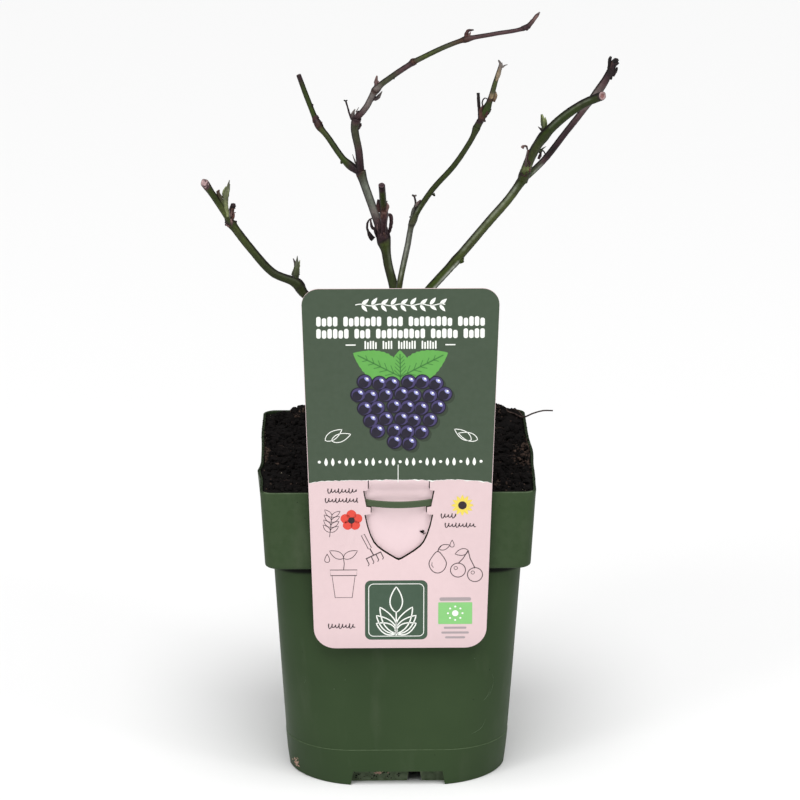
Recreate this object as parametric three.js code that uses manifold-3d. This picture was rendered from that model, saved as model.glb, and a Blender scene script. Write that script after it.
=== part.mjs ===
// A young thornless bramble in a square nursery pot: bare pruned canes on a short stem,
// moist potting soil up to the rim, and a die-cut plastic label hooked onto the pot's collar.
// Millimetres, +Z up. The origin is the middle of the pot's flat underside, the label faces -Y.

import * as THREE from 'three';
import { mergeVertices } from 'three/addons/utils/BufferGeometryUtils.js';
import Module from 'manifold-3d';

const wasm = await Module();
wasm.setup();

// Pot: an 11 x 11 x 13 cm nursery pot with a stepped collar and a foot on each corner
const POT_HEIGHT = 130;
const RIM_WIDTH = 110;
const COLLAR_HEIGHT = 34;
const COLLAR_FOOT_WIDTH = 106.4;
const COLLAR_RADIUS = 5;
const COLLAR_EDGE = 0.9;
const BODY_TOP_WIDTH = 99.8;
const BODY_TOP_RADIUS = 12;
const BAND_HEIGHT = 15.8;
const BAND_WIDTH = 91.4;
const BAND_RADIUS = 27;
const FOOT_WIDTH = 89.4;
const FOOT_RADIUS = 32;
const FOOT_EDGE = 0.5;
const WALL = 1.2;
const FLOOR = 1.5;
const FLOOR_INSET = 0.3;
const CORNER_STEPS = 5;

// Niche in the middle of each side between the feet, with one drain slot in its back wall
const NICHE_TOP_WIDTH = 36.4;
const NICHE_FOOT_WIDTH = 38.8;
const NICHE_HEIGHT = 6.2;
const NICHE_DEPTH = 5.4;
const SLOT_TOP_WIDTH = 4.2;
const SLOT_FOOT_WIDTH = 6.4;
const SLOT_OFFSET = 6.8;
const SLOT_HEIGHT = 4.8;
const SLOT_LENGTH = 15;
const CUT_OVERRUN = 1;

// Bowed bridge on the front of the collar that the label's tongue is pushed behind
const BRIDGE_HEIGHT = 3.2;
const BRIDGE_MIDDLE = 125.6;
const BRIDGE_HALF_WIDTH = 17.3;
const BRIDGE_BOW = 5.8;
const BRIDGE_WALL = 0.9;
const BRIDGE_FOOT_THICKNESS = 1;
const BRIDGE_SINK = 0.4;
const BRIDGE_CURVE_STEPS = 16;

// Soil
const GAP = 0.3;
const SOIL_DEPTH_BELOW_RIM = 1.6;
const SOIL_RINGS = [0.88, 0.7, 0.48, 0.24];
const SOIL_SIDE_STEPS = 6;
const SOIL_FLAT_RADIUS = 9;
const SOIL_MOUNDS = [
  { x: -37, y: 47, height: 4.2, reach: 8 },
  { x: 44, y: 46, height: 4.6, reach: 8 },
  { x: 12, y: 40, height: 2.4, reach: 16 },
  { x: -30, y: 6, height: -1.6, reach: 14 },
  { x: 34, y: -8, height: -1.8, reach: 15 },
];

// Label: a tapering card with rounded corners and an arrow tongue cut out of its middle
const LABEL_THICKNESS = 0.5;
const LABEL_LEAN = 3.1;
const LABEL_TOP_WIDTH = 77.2;
const LABEL_FOOT_WIDTH = 69.2;
const LABEL_RISE = 89.3;
const LABEL_DROP = 62.5;
const LABEL_TOP_RADIUS = 6.7;
const LABEL_FOOT_RADIUS = 8.7;
const LABEL_CORNER_STEPS = 6;
const LABEL_CENTRE_X = 0.8;
const TONGUE_CENTRE_X = 0.2;
const LABEL_CLEARANCE = 2.5;
const TONGUE_SETBACK = 2;
const TONGUE_HINGE = 9.6;
const TONGUE_ROOT = 3;
const TONGUE_RAMP = 5.6;
const TONGUE_REACH = 30;
const CUT_WIDTH = 0.25;
const TOOL_WIDTH = 40;
const TOOL_DEPTH = 10;

// Right half of the tongue's outline, from its hinge down to its point: [half width, height]
const TONGUE_OUTLINE = [
  [11.9, 11.5],
  [11.9, 5.3],
  [13.8, 5],
  [12.5, -1.8],
  [10.8, -2.1],
  [10.8, -4.9],
  [13.3, -5.2],
  [9.5, -17.2],
  [6.2, -20.2],
  [0, -24.4],
];

// Canes. Each one grows from a place on another limb, given as a share of that limb's length.
// Its internodes are [length, lean from upright, compass heading], with 0 to the right, +X,
// and 90 to the back, +Y. Knots are thicker places: [share of length, extra radius, reach].
const LIMB_SIDES = 8;
const LIMB_STEP = 3.6;
const LIMB_LEAST_STEPS = 4;
const LIMBS = [
  {
    name: 'stem',
    radius: [3.7, 2.9],
    internodes: [[22, 1, -114], [19, 2, -78], [14, 1, 0]],
    knots: [[0, 2, 5], [0.72, 0.6, 3.5], [0.96, 0.5, 4]],
    colour: 'oldWood',
  },
  {
    name: 'cane_left',
    from: ['stem', 0.735],
    radius: [1.95, 1.6],
    internodes: [
      [23.5, 54.5, 171], [21.5, 59, 167], [5.5, 38, 165],
      [10.5, 68, 168], [14, 45, 163], [12, 39, 163],
    ],
    knots: [[0.57, 0.6, 3]],
    buds: [{ at: 0.58, length: 12, width: 3.4, lean: 3, heading: 180 }],
    colour: 'greenBark',
  },
  {
    name: 'cane_left_tip',
    from: ['cane_left', 1],
    radius: [1.75, 1.5],
    internodes: [[10, 31, -168], [12.4, 33, -159]],
    knots: [[0, 0.7, 3]],
    buds: [
      { at: 0.04, length: 8, width: 2.6, lean: 5, heading: 20 },
      { at: 0.42, length: 11, width: 2.9, lean: 14, heading: 10 },
    ],
    colour: 'greenBark',
  },
  {
    name: 'cane_middle',
    from: ['stem', 1],
    radius: [1.9, 1.65],
    internodes: [
      [14, 17, 104], [10, 23, 127], [9.5, 15, 127],
      [12, 21, 152], [14, 21, 156], [4, 17, 157],
    ],
    knots: [[0.53, 1.2, 4.5], [1, 0.5, 3]],
    colour: 'brownBark',
  },
  {
    name: 'stub_middle',
    from: ['cane_middle', 0.55],
    radius: [1.4, 1.15],
    internodes: [[11.5, 26, -89], [14.5, 20, -100]],
    knots: [[0.45, 0.5, 2.5]],
    colour: 'greenBark',
  },
  {
    name: 'cane_middle_upper',
    from: ['cane_middle', 1],
    radius: [1.55, 1.4],
    internodes: [[8.5, 6, -145], [10, 11, -148], [4.5, 17, -49]],
    knots: [[0.88, 0.7, 2.4]],
    buds: [{ at: 0.86, length: 9.5, width: 1.7, lean: 29, heading: 150 }],
    colour: 'brownBark',
  },
  {
    name: 'arch_lower',
    from: ['cane_middle_upper', 1],
    radius: [1.3, 1.1],
    internodes: [[6.5, 41, -29], [9, 30, -26], [9, 50, -26], [12, 54.5, -23]],
    knots: [[0.42, 0.5, 2], [1, 0.3, 2]],
    buds: [
      { at: 0.44, length: 5.2, width: 2, lean: 3, heading: 0 },
      { at: 0.3, length: 4.4, width: 2, lean: 55, heading: -10 },
    ],
    colour: 'brownBark',
  },
  {
    name: 'arch_outer',
    from: ['arch_lower', 1],
    radius: [1.1, 0.75],
    internodes: [[15, 62, -22], [10, 68, -20], [11, 77, -15], [13.5, 75, -14], [6, 40, -13]],
    knots: [[0.44, 0.4, 2], [0.88, 0.3, 2]],
    buds: [{ at: 0.44, length: 3.9, width: 2.2, lean: 10, heading: 0 }],
    colour: 'brownBark',
  },
  {
    name: 'branch_middle_left',
    from: ['cane_middle', 0.98],
    radius: [1.3, 1],
    internodes: [[9, 60, 148], [12.5, 45, 143], [6, 44, 150], [9.5, 30, 141], [12.5, 26, 142]],
    knots: [[0.12, 0.5, 3], [0.56, 0.5, 2.4]],
    buds: [{ at: 0.56, length: 3.8, width: 2.6, lean: 20, heading: 180 }],
    colour: 'brownBark',
  },
  {
    name: 'cane_front',
    from: ['stem', 0.98],
    radius: [1.35, 1.15],
    internodes: [
      [17, 18, -81], [20, 15, -49], [12, 18, -53], [14.5, 31, -22],
      [15, 40, -18], [14, 33, -24], [5, 23, -23],
    ],
    knots: [[0.5, 0.4, 2.2], [1, 0.5, 2.4]],
    buds: [{ at: 0.51, length: 9, width: 1.8, lean: 3, heading: 0 }],
    colour: 'greenBark',
  },
  {
    name: 'cane_front_tip',
    from: ['cane_front', 1],
    radius: [1.4, 0.75],
    internodes: [[7, 28, -19], [7.5, 24, -36], [6.5, 22, -54], [7.5, 19, -34]],
    knots: [[0.3, 0.5, 2.4]],
    buds: [
      { at: 0.06, length: 13, width: 2.1, lean: 4, heading: 150 },
      { at: 0.3, length: 4.8, width: 2.2, lean: 20, heading: 170 },
    ],
    colour: 'brownBark',
  },
  {
    name: 'cane_right',
    from: ['stem', 0.945],
    radius: [2.2, 2],
    internodes: [[22.5, 37.3, -13], [14, 40.5, -13], [24.5, 38.8, -11], [12, 39.5, -8], [10, 34.5, -9]],
    knots: [[0.44, 0.25, 2.5], [1, 0.6, 3]],
    colour: 'greenBark',
  },
  {
    name: 'branch_right_green',
    from: ['cane_right', 1],
    radius: [1.95, 1.7],
    internodes: [[8, 25, -56], [11.5, 31.5, -44], [12, 42, -30], [12.5, 52, -24], [9, 64, -16]],
    knots: [[0.42, 0.3, 2.5]],
    buds: [{ at: 0.4, length: 8.4, width: 2.6, lean: 4, heading: 180 }],
    colour: 'greenBark',
  },
  {
    name: 'branch_right_brown',
    from: ['cane_right', 0.98],
    radius: [1.3, 1.25],
    internodes: [[13, 52.5, 25], [14, 43, 24], [14.5, 43.5, 26], [11, 41, 24], [9.5, 32, 30]],
    knots: [[0.8, 0.45, 6]],
    colour: 'brownBark',
  },
];

// A bud is lathed: half widths and heights as shares of its own half width and length
const BUD_SIDES = 6;
const BUD_PROFILE = [[0, 0], [0.8, 0], [0.75, 0.3], [1, 0.55], [0.6, 0.82], [0, 1]];

const MATERIALS = {
  pot: { color: 0x405238, roughness: 0.5, metalness: 0 },
  soil: { color: 0x17120f, roughness: 1, metalness: 0 },
  label: { color: 0xecd9da, roughness: 0.45, metalness: 0 },
  oldWood: { color: 0x4d4038, roughness: 0.8, metalness: 0 },
  greenBark: { color: 0x56683a, roughness: 0.55, metalness: 0 },
  brownBark: { color: 0x5a4744, roughness: 0.65, metalness: 0 },
};

const radians = THREE.MathUtils.degToRad;

// Booleans
function toSolid(geometry) {
  const bare = geometry.clone();
  bare.deleteAttribute('normal');
  bare.deleteAttribute('uv');
  const merged = mergeVertices(bare);
  return new wasm.Manifold(new wasm.Mesh({
    numProp: 3,
    vertProperties: new Float32Array(merged.attributes.position.array),
    triVerts: new Uint32Array(merged.index.array),
  }));
}

function toMesh(name, solid, material) {
  const { vertProperties, triVerts } = solid.getMesh();
  const geometry = new THREE.BufferGeometry();
  geometry.setAttribute('position', new THREE.BufferAttribute(vertProperties, 3));
  geometry.setIndex(new THREE.BufferAttribute(triVerts, 1));
  geometry.computeVertexNormals();
  const mesh = new THREE.Mesh(geometry, new THREE.MeshStandardMaterial(MATERIALS[material]));
  mesh.name = name;
  return mesh;
}

function boxSolid(low, high) {
  const size = high.map((value, axis) => value - low[axis]);
  const geometry = new THREE.BoxGeometry(...size);
  geometry.translate(...low.map((value, axis) => value + size[axis] / 2));
  return toSolid(geometry);
}

function quarterTurns(make) {
  return [0, 1, 2, 3].map((turn) => make().rotate([0, 0, turn * 90]));
}

// Lofts: closed solids through rings that all have the same number of points
function roundedSquare({ z, width, radius, sideSteps = 1 }) {
  const points = [];
  const reach = width / 2 - radius;
  for (let corner = 0; corner < 4; corner += 1) {
    const turn = new THREE.Matrix4().makeRotationZ(radians(90 * corner));
    for (let step = 0; step <= CORNER_STEPS; step += 1) {
      const angle = radians((90 * step) / CORNER_STEPS);
      const x = reach + radius * Math.cos(angle);
      const y = reach + radius * Math.sin(angle);
      points.push(new THREE.Vector3(x, y, z).applyMatrix4(turn));
    }
    for (let step = 1; step < sideSteps; step += 1) {
      const x = THREE.MathUtils.lerp(reach, -reach, step / sideSteps);
      points.push(new THREE.Vector3(x, width / 2, z).applyMatrix4(turn));
    }
  }
  return points;
}

function loft(rings, lowCentre, highCentre) {
  const count = rings[0].length;
  const points = [...rings.flat(), lowCentre, highCentre];
  const low = points.length - 2;
  const high = points.length - 1;
  const last = (rings.length - 1) * count;
  const index = [];
  for (let i = 0; i < count; i += 1) {
    const next = (i + 1) % count;
    for (let ring = 0; ring < last; ring += count) {
      index.push(ring + i, ring + next, ring + count + next);
      index.push(ring + i, ring + count + next, ring + count + i);
    }
    index.push(low, next, i);
    index.push(high, last + i, last + next);
  }
  const coordinates = points.flatMap((point) => point.toArray());
  const geometry = new THREE.BufferGeometry();
  geometry.setAttribute('position', new THREE.Float32BufferAttribute(coordinates, 3));
  geometry.setIndex(index);
  return geometry;
}

function squareLoft(profile) {
  const bottom = new THREE.Vector3(0, 0, profile[0].z);
  const top = new THREE.Vector3(0, 0, profile[profile.length - 1].z);
  return loft(profile.map(roundedSquare), bottom, top);
}

// Pot
const COLLAR_FOOT = POT_HEIGHT - COLLAR_HEIGHT;
const COLLAR_SLOPE = (RIM_WIDTH - COLLAR_FOOT_WIDTH) / 2 / COLLAR_HEIGHT;
const BRIDGE_WALL_Y = RIM_WIDTH / 2 - (POT_HEIGHT - BRIDGE_MIDDLE) * COLLAR_SLOPE;
const BODY_MIDDLE_WIDTH = (BAND_WIDTH + BODY_TOP_WIDTH) / 2;
const BODY_MIDDLE_RADIUS = (BAND_RADIUS + BODY_TOP_RADIUS) / 2;

function outerProfile() {
  return [
    { z: 0, width: FOOT_WIDTH - 2 * FOOT_EDGE, radius: FOOT_RADIUS },
    { z: FOOT_EDGE, width: FOOT_WIDTH, radius: FOOT_RADIUS },
    { z: BAND_HEIGHT, width: BAND_WIDTH, radius: BAND_RADIUS },
    { z: (BAND_HEIGHT + COLLAR_FOOT) / 2, width: BODY_MIDDLE_WIDTH, radius: BODY_MIDDLE_RADIUS },
    { z: COLLAR_FOOT, width: BODY_TOP_WIDTH, radius: BODY_TOP_RADIUS },
    { z: COLLAR_FOOT, width: COLLAR_FOOT_WIDTH - 2 * COLLAR_EDGE, radius: COLLAR_RADIUS },
    { z: COLLAR_FOOT + COLLAR_EDGE, width: COLLAR_FOOT_WIDTH, radius: COLLAR_RADIUS },
    { z: POT_HEIGHT, width: RIM_WIDTH, radius: COLLAR_RADIUS },
  ];
}

// The inside follows the outside, set in by the given amount, from the given floor upwards
function innerProfile(inset, floor, top) {
  const outside = outerProfile();
  const foot = outside[1];
  const bottom = {
    z: floor,
    width: foot.width - 2 * (inset + FLOOR_INSET),
    radius: foot.radius - inset,
  };
  const walls = outside.slice(2).map(({ z, width, radius }) => ({
    z: z < COLLAR_FOOT ? z : Math.min(z + inset, top),
    width: width - 2 * inset,
    radius: radius - inset,
  }));
  return [bottom, ...walls];
}

// A cut in the front of the foot band, wider at its foot, that runs from y = front to y = back
function bandCut(x, footWidth, topWidth, height, front, back) {
  const outline = new THREE.Shape();
  outline.moveTo(x - footWidth / 2, -CUT_OVERRUN);
  outline.lineTo(x + footWidth / 2, -CUT_OVERRUN);
  outline.lineTo(x + topWidth / 2, height);
  outline.lineTo(x - topWidth / 2, height);
  outline.closePath();
  const geometry = new THREE.ExtrudeGeometry(outline, { depth: back - front, bevelEnabled: false });
  geometry.rotateX(Math.PI / 2);
  geometry.translate(0, back, 0);
  return toSolid(geometry);
}

const NICHE_BACK = NICHE_DEPTH - FOOT_WIDTH / 2;

function nicheSolid(margin) {
  const widths = [NICHE_FOOT_WIDTH + 2 * margin, NICHE_TOP_WIDTH + 2 * margin];
  return bandCut(0, ...widths, NICHE_HEIGHT + margin, -FOOT_WIDTH, NICHE_BACK + margin);
}

function drainSolid(margin) {
  const widths = [SLOT_FOOT_WIDTH + 2 * margin, SLOT_TOP_WIDTH + 2 * margin];
  const ends = [NICHE_BACK - CUT_OVERRUN - margin, NICHE_BACK + SLOT_LENGTH + margin];
  return bandCut(SLOT_OFFSET, ...widths, SLOT_HEIGHT + margin, ...ends);
}

function bridgeSolid() {
  const footY = BRIDGE_WALL_Y - BRIDGE_SINK;
  const innerHalf = BRIDGE_HALF_WIDTH - BRIDGE_FOOT_THICKNESS;
  const arch = new THREE.Shape();
  arch.moveTo(-BRIDGE_HALF_WIDTH, 0);
  arch.quadraticCurveTo(0, 2 * BRIDGE_BOW, BRIDGE_HALF_WIDTH, 0);
  arch.lineTo(innerHalf, 0);
  arch.quadraticCurveTo(0, 2 * (BRIDGE_BOW - BRIDGE_WALL), -innerHalf, 0);
  arch.closePath();
  const geometry = new THREE.ExtrudeGeometry(arch, {
    depth: BRIDGE_HEIGHT, bevelEnabled: false, curveSegments: BRIDGE_CURVE_STEPS,
  });
  geometry.rotateZ(Math.PI);
  geometry.translate(TONGUE_CENTRE_X, -footY, BRIDGE_MIDDLE - BRIDGE_HEIGHT / 2);
  return toSolid(geometry);
}

function potMesh() {
  const outside = toSolid(squareLoft(outerProfile()));
  const inside = toSolid(squareLoft(innerProfile(WALL, FLOOR, POT_HEIGHT + CUT_OVERRUN)));
  let pot = outside.subtract(inside);
  for (const liner of quarterTurns(() => nicheSolid(WALL))) {
    pot = pot.add(liner.intersect(outside));
  }
  for (const cut of [...quarterTurns(() => nicheSolid(0)), ...quarterTurns(() => drainSolid(0))]) {
    pot = pot.subtract(cut);
  }
  return toMesh('pot', pot.add(bridgeSolid()), 'pot');
}

// Soil
const SOIL_LEVEL = POT_HEIGHT - SOIL_DEPTH_BELOW_RIM;

function soilHeight(x, y) {
  const level = THREE.MathUtils.smoothstep(Math.hypot(x, y), SOIL_FLAT_RADIUS, 2 * SOIL_FLAT_RADIUS);
  const mounds = SOIL_MOUNDS.map((mound) => {
    const away = Math.hypot(x - mound.x, y - mound.y) / mound.reach;
    return mound.height * Math.exp(-away * away);
  });
  return SOIL_LEVEL + level * mounds.reduce((sum, height) => sum + height, 0);
}

function soilMesh() {
  const inset = WALL + GAP;
  const walls = innerProfile(inset, FLOOR + GAP, SOIL_LEVEL)
    .map((ring) => roundedSquare({ ...ring, sideSteps: SOIL_SIDE_STEPS }));
  const edge = walls[walls.length - 1];
  const surface = [1, ...SOIL_RINGS].map((share) => edge.map((point) => {
    const x = point.x * share;
    const y = point.y * share;
    return new THREE.Vector3(x, y, soilHeight(x, y));
  }));
  const bottom = new THREE.Vector3(0, 0, FLOOR + GAP);
  const middle = new THREE.Vector3(0, 0, SOIL_LEVEL);
  let soil = toSolid(loft([...walls.slice(0, -1), ...surface], bottom, middle));
  for (const cut of [...quarterTurns(() => nicheSolid(inset)), ...quarterTurns(() => drainSolid(GAP))]) {
    soil = soil.subtract(cut);
  }
  return toMesh('soil', soil, 'soil');
}

// Label, in its own plane: x across, y up from the bridge, z out towards the viewer
function cardShape() {
  const topX = LABEL_TOP_WIDTH / 2 - LABEL_TOP_RADIUS;
  const topY = LABEL_RISE - LABEL_TOP_RADIUS;
  const footX = LABEL_FOOT_WIDTH / 2 - LABEL_FOOT_RADIUS;
  const footY = LABEL_FOOT_RADIUS - LABEL_DROP;
  const card = new THREE.Shape();
  card.moveTo(-footX, -LABEL_DROP);
  card.absarc(footX, footY, LABEL_FOOT_RADIUS, -Math.PI / 2, 0);
  card.absarc(topX, topY, LABEL_TOP_RADIUS, 0, Math.PI / 2);
  card.absarc(-topX, topY, LABEL_TOP_RADIUS, Math.PI / 2, Math.PI);
  card.absarc(-footX, footY, LABEL_FOOT_RADIUS, Math.PI, Math.PI * 1.5);
  card.closePath();
  return card;
}

// The tongue's outline, wider on both sides and at its point by the given margin
function tongueShape(margin) {
  const sides = TONGUE_OUTLINE.slice(0, -1).map(([half, height]) => [half + margin, height]);
  const [middle, low] = TONGUE_OUTLINE[TONGUE_OUTLINE.length - 1];
  const left = sides.map(([x, y]) => [-x, y]).reverse();
  const outline = [...sides, [middle, low - margin], ...left];
  return new THREE.Shape(outline.map(([x, y]) => new THREE.Vector2(x, y)));
}

// Side view of the tongue's strip: level with the card at its hinge, set back behind the bridge
function stripSolid() {
  const back = [
    [0, TONGUE_HINGE + TONGUE_ROOT],
    [0, TONGUE_HINGE],
    [-TONGUE_SETBACK, TONGUE_HINGE - TONGUE_RAMP],
    [-TONGUE_SETBACK, -TONGUE_REACH],
  ];
  const face = back.map(([depth, height]) => [depth + LABEL_THICKNESS, height]).reverse();
  const outline = [...back, ...face].map(([depth, height]) => new THREE.Vector2(depth, height));
  const geometry = new THREE.ExtrudeGeometry(new THREE.Shape(outline), {
    depth: TOOL_WIDTH, bevelEnabled: false,
  });
  geometry.rotateY(-Math.PI / 2);
  geometry.translate(TOOL_WIDTH / 2, 0, 0);
  return toSolid(geometry);
}

function tonguePrism(margin) {
  const prism = new THREE.ExtrudeGeometry(tongueShape(margin), { depth: TOOL_DEPTH, bevelEnabled: false });
  return toSolid(prism.translate(0, 0, -TOOL_DEPTH / 2));
}

function labelMesh() {
  const card = toSolid(new THREE.ExtrudeGeometry(cardShape(), {
    depth: LABEL_THICKNESS, bevelEnabled: false, curveSegments: LABEL_CORNER_STEPS,
  }).translate(LABEL_CENTRE_X - TONGUE_CENTRE_X, 0, 0));
  const belowHinge = boxSolid(
    [-TOOL_WIDTH / 2, -TONGUE_REACH, -TOOL_DEPTH],
    [TOOL_WIDTH / 2, TONGUE_HINGE, TOOL_DEPTH],
  );
  const cut = tonguePrism(CUT_WIDTH).intersect(belowHinge);
  const tongue = stripSolid().intersect(tonguePrism(0));
  const mesh = toMesh('label', card.subtract(cut).add(tongue), 'label');
  mesh.position.set(TONGUE_CENTRE_X, -BRIDGE_WALL_Y - LABEL_CLEARANCE, BRIDGE_MIDDLE);
  mesh.rotation.x = radians(90 + LABEL_LEAN);
  return mesh;
}

// Canes
function direction(lean, heading) {
  const across = Math.sin(radians(lean));
  return new THREE.Vector3(
    across * Math.cos(radians(heading)),
    across * Math.sin(radians(heading)),
    Math.cos(radians(lean)),
  );
}

function centreline(start, internodes) {
  const points = [start];
  for (const [length, lean, heading] of internodes) {
    const last = points[points.length - 1];
    points.push(last.clone().addScaledVector(direction(lean, heading), length));
  }
  return new THREE.CatmullRomCurve3(points, false, 'centripetal');
}

function radiusAt(limb, share, length) {
  const [base, tip] = limb.radius;
  const knots = limb.knots.map(([at, extra, reach]) => {
    const away = ((share - at) * length) / reach;
    return extra * Math.exp(-away * away);
  });
  return THREE.MathUtils.lerp(base, tip, share) + knots.reduce((sum, extra) => sum + extra, 0);
}

function middleOf(points) {
  const sum = points.reduce((total, point) => total.add(point), new THREE.Vector3());
  return sum.divideScalar(points.length);
}

// A tapering tube along the limb's centreline, fatter and longer at both ends by the margin
function limbSolid(limb, curve, margin) {
  const length = curve.getLength();
  const steps = Math.max(LIMB_LEAST_STEPS, Math.round(length / LIMB_STEP));
  const frames = curve.computeFrenetFrames(steps);
  const rings = [];
  for (let step = 0; step <= steps; step += 1) {
    const share = step / steps;
    const overrun = { 0: -margin, [steps]: margin }[step] ?? 0;
    const centre = curve.getPointAt(share).addScaledVector(frames.tangents[step], overrun);
    const radius = radiusAt(limb, share, length) + margin;
    const ring = [];
    for (let side = 0; side < LIMB_SIDES; side += 1) {
      const angle = (2 * Math.PI * side) / LIMB_SIDES;
      ring.push(centre.clone()
        .addScaledVector(frames.normals[step], radius * Math.cos(angle))
        .addScaledVector(frames.binormals[step], radius * Math.sin(angle)));
    }
    rings.push(ring);
  }
  return toSolid(loft(rings, middleOf(rings[0]), middleOf(rings[steps])));
}

// A pointed bud or sprout that stands out of its limb, with its foot on the limb's centreline
function budSolid(bud, curve) {
  const profile = BUD_PROFILE.map(([across, along]) => (
    new THREE.Vector2((across * bud.width) / 2, along * bud.length)
  ));
  const geometry = new THREE.LatheGeometry(profile, BUD_SIDES);
  const turn = new THREE.Quaternion().setFromUnitVectors(
    new THREE.Vector3(0, 1, 0),
    direction(bud.lean, bud.heading),
  );
  geometry.applyQuaternion(turn);
  geometry.translate(...curve.getPointAt(bud.at).toArray());
  return toSolid(geometry);
}

function plantGroup() {
  const plant = new THREE.Group();
  const grown = new Map();
  for (const limb of LIMBS) {
    const start = limb.from ? grown.get(limb.from[0]).curve.getPointAt(limb.from[1]) : new THREE.Vector3();
    const curve = centreline(start, limb.internodes);
    let solid = limbSolid(limb, curve, 0);
    for (const bud of limb.buds ?? []) {
      solid = solid.add(budSolid(bud, curve));
    }
    for (const { fat } of grown.values()) {
      solid = solid.subtract(fat);
    }
    let fat = limbSolid(limb, curve, GAP);
    for (const bud of limb.buds ?? []) {
      const fatter = { ...bud, width: bud.width + 2 * GAP, length: bud.length + GAP };
      fat = fat.add(budSolid(fatter, curve));
    }
    grown.set(limb.name, { curve, fat });
    plant.add(toMesh(limb.name, largestPart(solid), limb.colour));
  }
  plant.position.z = SOIL_LEVEL + GAP;
  return plant;
}

// Cutting a limb clear of its neighbours can leave a crumb on their far side, which is dropped
function largestPart(solid) {
  const parts = solid.decompose();
  return parts.reduce((largest, part) => (part.volume() > largest.volume() ? part : largest));
}

const bramble = new THREE.Group();
bramble.add(potMesh(), soilMesh(), labelMesh(), plantGroup());

export default bramble;
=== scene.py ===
"""Looks of a young thornless bramble in a square nursery pot, with its hang-on label card.

Every size below is in millimetres, in the same frame as the solids: +Z up, the origin in the
middle of the pot's underside, the label on the -Y side. make_piece turns them into metres.
"""

import math
import random

import bmesh
import bpy
from mathutils import Matrix, Vector, noise


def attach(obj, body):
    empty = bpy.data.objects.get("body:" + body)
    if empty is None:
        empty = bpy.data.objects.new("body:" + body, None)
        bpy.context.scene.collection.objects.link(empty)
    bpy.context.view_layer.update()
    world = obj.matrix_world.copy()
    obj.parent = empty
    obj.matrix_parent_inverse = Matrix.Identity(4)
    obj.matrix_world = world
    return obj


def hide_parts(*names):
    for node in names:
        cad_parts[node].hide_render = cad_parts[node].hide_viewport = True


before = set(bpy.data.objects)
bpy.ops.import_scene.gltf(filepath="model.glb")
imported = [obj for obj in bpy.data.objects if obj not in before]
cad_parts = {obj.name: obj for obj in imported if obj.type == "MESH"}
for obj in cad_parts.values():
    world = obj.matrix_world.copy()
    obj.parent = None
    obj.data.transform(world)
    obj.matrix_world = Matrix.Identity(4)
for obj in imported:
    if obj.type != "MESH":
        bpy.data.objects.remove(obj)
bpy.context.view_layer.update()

MM = 0.001
SEED = 11
DIRT_SEED = 5
CRUMB_SEED = 21
FIBRE_SEED = 8
BIT_SEED = 14
TONGUE_SEED = 3
random.seed(SEED)

# Camera: the photograph's viewing angle and framing, in metres and degrees
CAMERA_TARGET = Vector((0.00162, 0, 0.15068))
CAMERA_DISTANCE = 1.7
CAMERA_AZIMUTH = -0.95
CAMERA_ELEVATION = 16.76
CAMERA_SENSOR = 36
CAMERA_LENS = 187.67

# Studio light: an even world, a broad overhead light tilted to the front, and softboxes with
# their place in metres, their size and their power
WORLD_STRENGTH = 0.22
OVERHEAD_STRENGTH = 3.0
OVERHEAD_SPREAD = 50
OVERHEAD_TILT = 24
SOFTBOXES = {
    "left light": ((-1.2, -1.3, 1.0), 0.5, 7),
    "right light": ((1.3, -1.0, 0.8), 0.35, 4),
}
FLOOR_REACH = 8000
FLOOR_SHADE = 0.86
FLOOR_ROUGHNESS = 0.9
FLOOR_SPECULAR = 0.1

# Pot
POT_HEIGHT = 130
RIM_WIDTH = 110
COLLAR_FOOT = 96
COLLAR_FOOT_WIDTH = 106.4
COLLAR_RADIUS = 5
COLLAR_EDGE = 1.4
BODY_TOP_WIDTH = 99.8
BODY_TOP_RADIUS = 12
BAND_HEIGHT = 15.8
BAND_WIDTH = 91.4
BAND_RADIUS = 27
BAND_STEP = 0.12
FOOT_WIDTH = 89.4
FOOT_RADIUS = 32
FOOT_EDGE = 0.5
WALL = 1.2
LIP_EDGE = 0.42
FLOOR = 1.5
FLOOR_TAPER = 0.6
CORNER_STEPS = 14
SIDE_STEPS = 20
EDGE_STEPS = 5
WALL_STEPS = 8
SHARP_ANGLE = math.radians(35)

NICHE_TOP_WIDTH = 36.4
NICHE_FOOT_WIDTH = 38.8
NICHE_HEIGHT = 6.2
NICHE_DEPTH = 5.4
SLOT_TOP_WIDTH = 4.2
SLOT_FOOT_WIDTH = 6.4
SLOT_OFFSET = 6.8
SLOT_HEIGHT = 4.8
SLOT_LENGTH = 15
CUT_OVERRUN = 1
NICHE_BACK = NICHE_DEPTH - FOOT_WIDTH / 2

# The rim dips towards the front, from the first y to the second
RIM_DIP = 1.2
RIM_DIP_FROM = 20
RIM_DIP_TO = -50
RIM_DIP_FOOT = 127

# Painted light and soil, as colours and shares of them: a pale painted highlight on the lip, paler
# painted light on the collar and the niches, a painted highlight on the crease, dark soil on the side
# rims, darkened walls inside and painted shade in the groove under the collar
PALE_PAINTED_LIGHT = (118, 130, 106)
CREASE_HIGHLIGHT = (92, 108, 80)
DARK_SOIL_AND_SHADE = (9, 14, 7)
SIDE_LIP_HIGHLIGHT = 0.12
COLLAR_LIGHT_SHARE = 0.05
LIP_GRIME = 0.55
INSIDE_DARKENING = 0.7
FRONT_LIP_HIGHLIGHT = 0.3
NICHE_LIGHT_SHARE = 0.6
LIP_FACING = 0.45
CREASE_FACING = 0.25
GROOVE_HEIGHT = 3.2
GROOVE_FULL = 2.1
GROOVE_PARTS = (1, 0.83, 0.66)
NICHE_SLACK = 0.2
CREASE_REACH = 1
SCUFF_LIFT = 0.03

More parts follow.
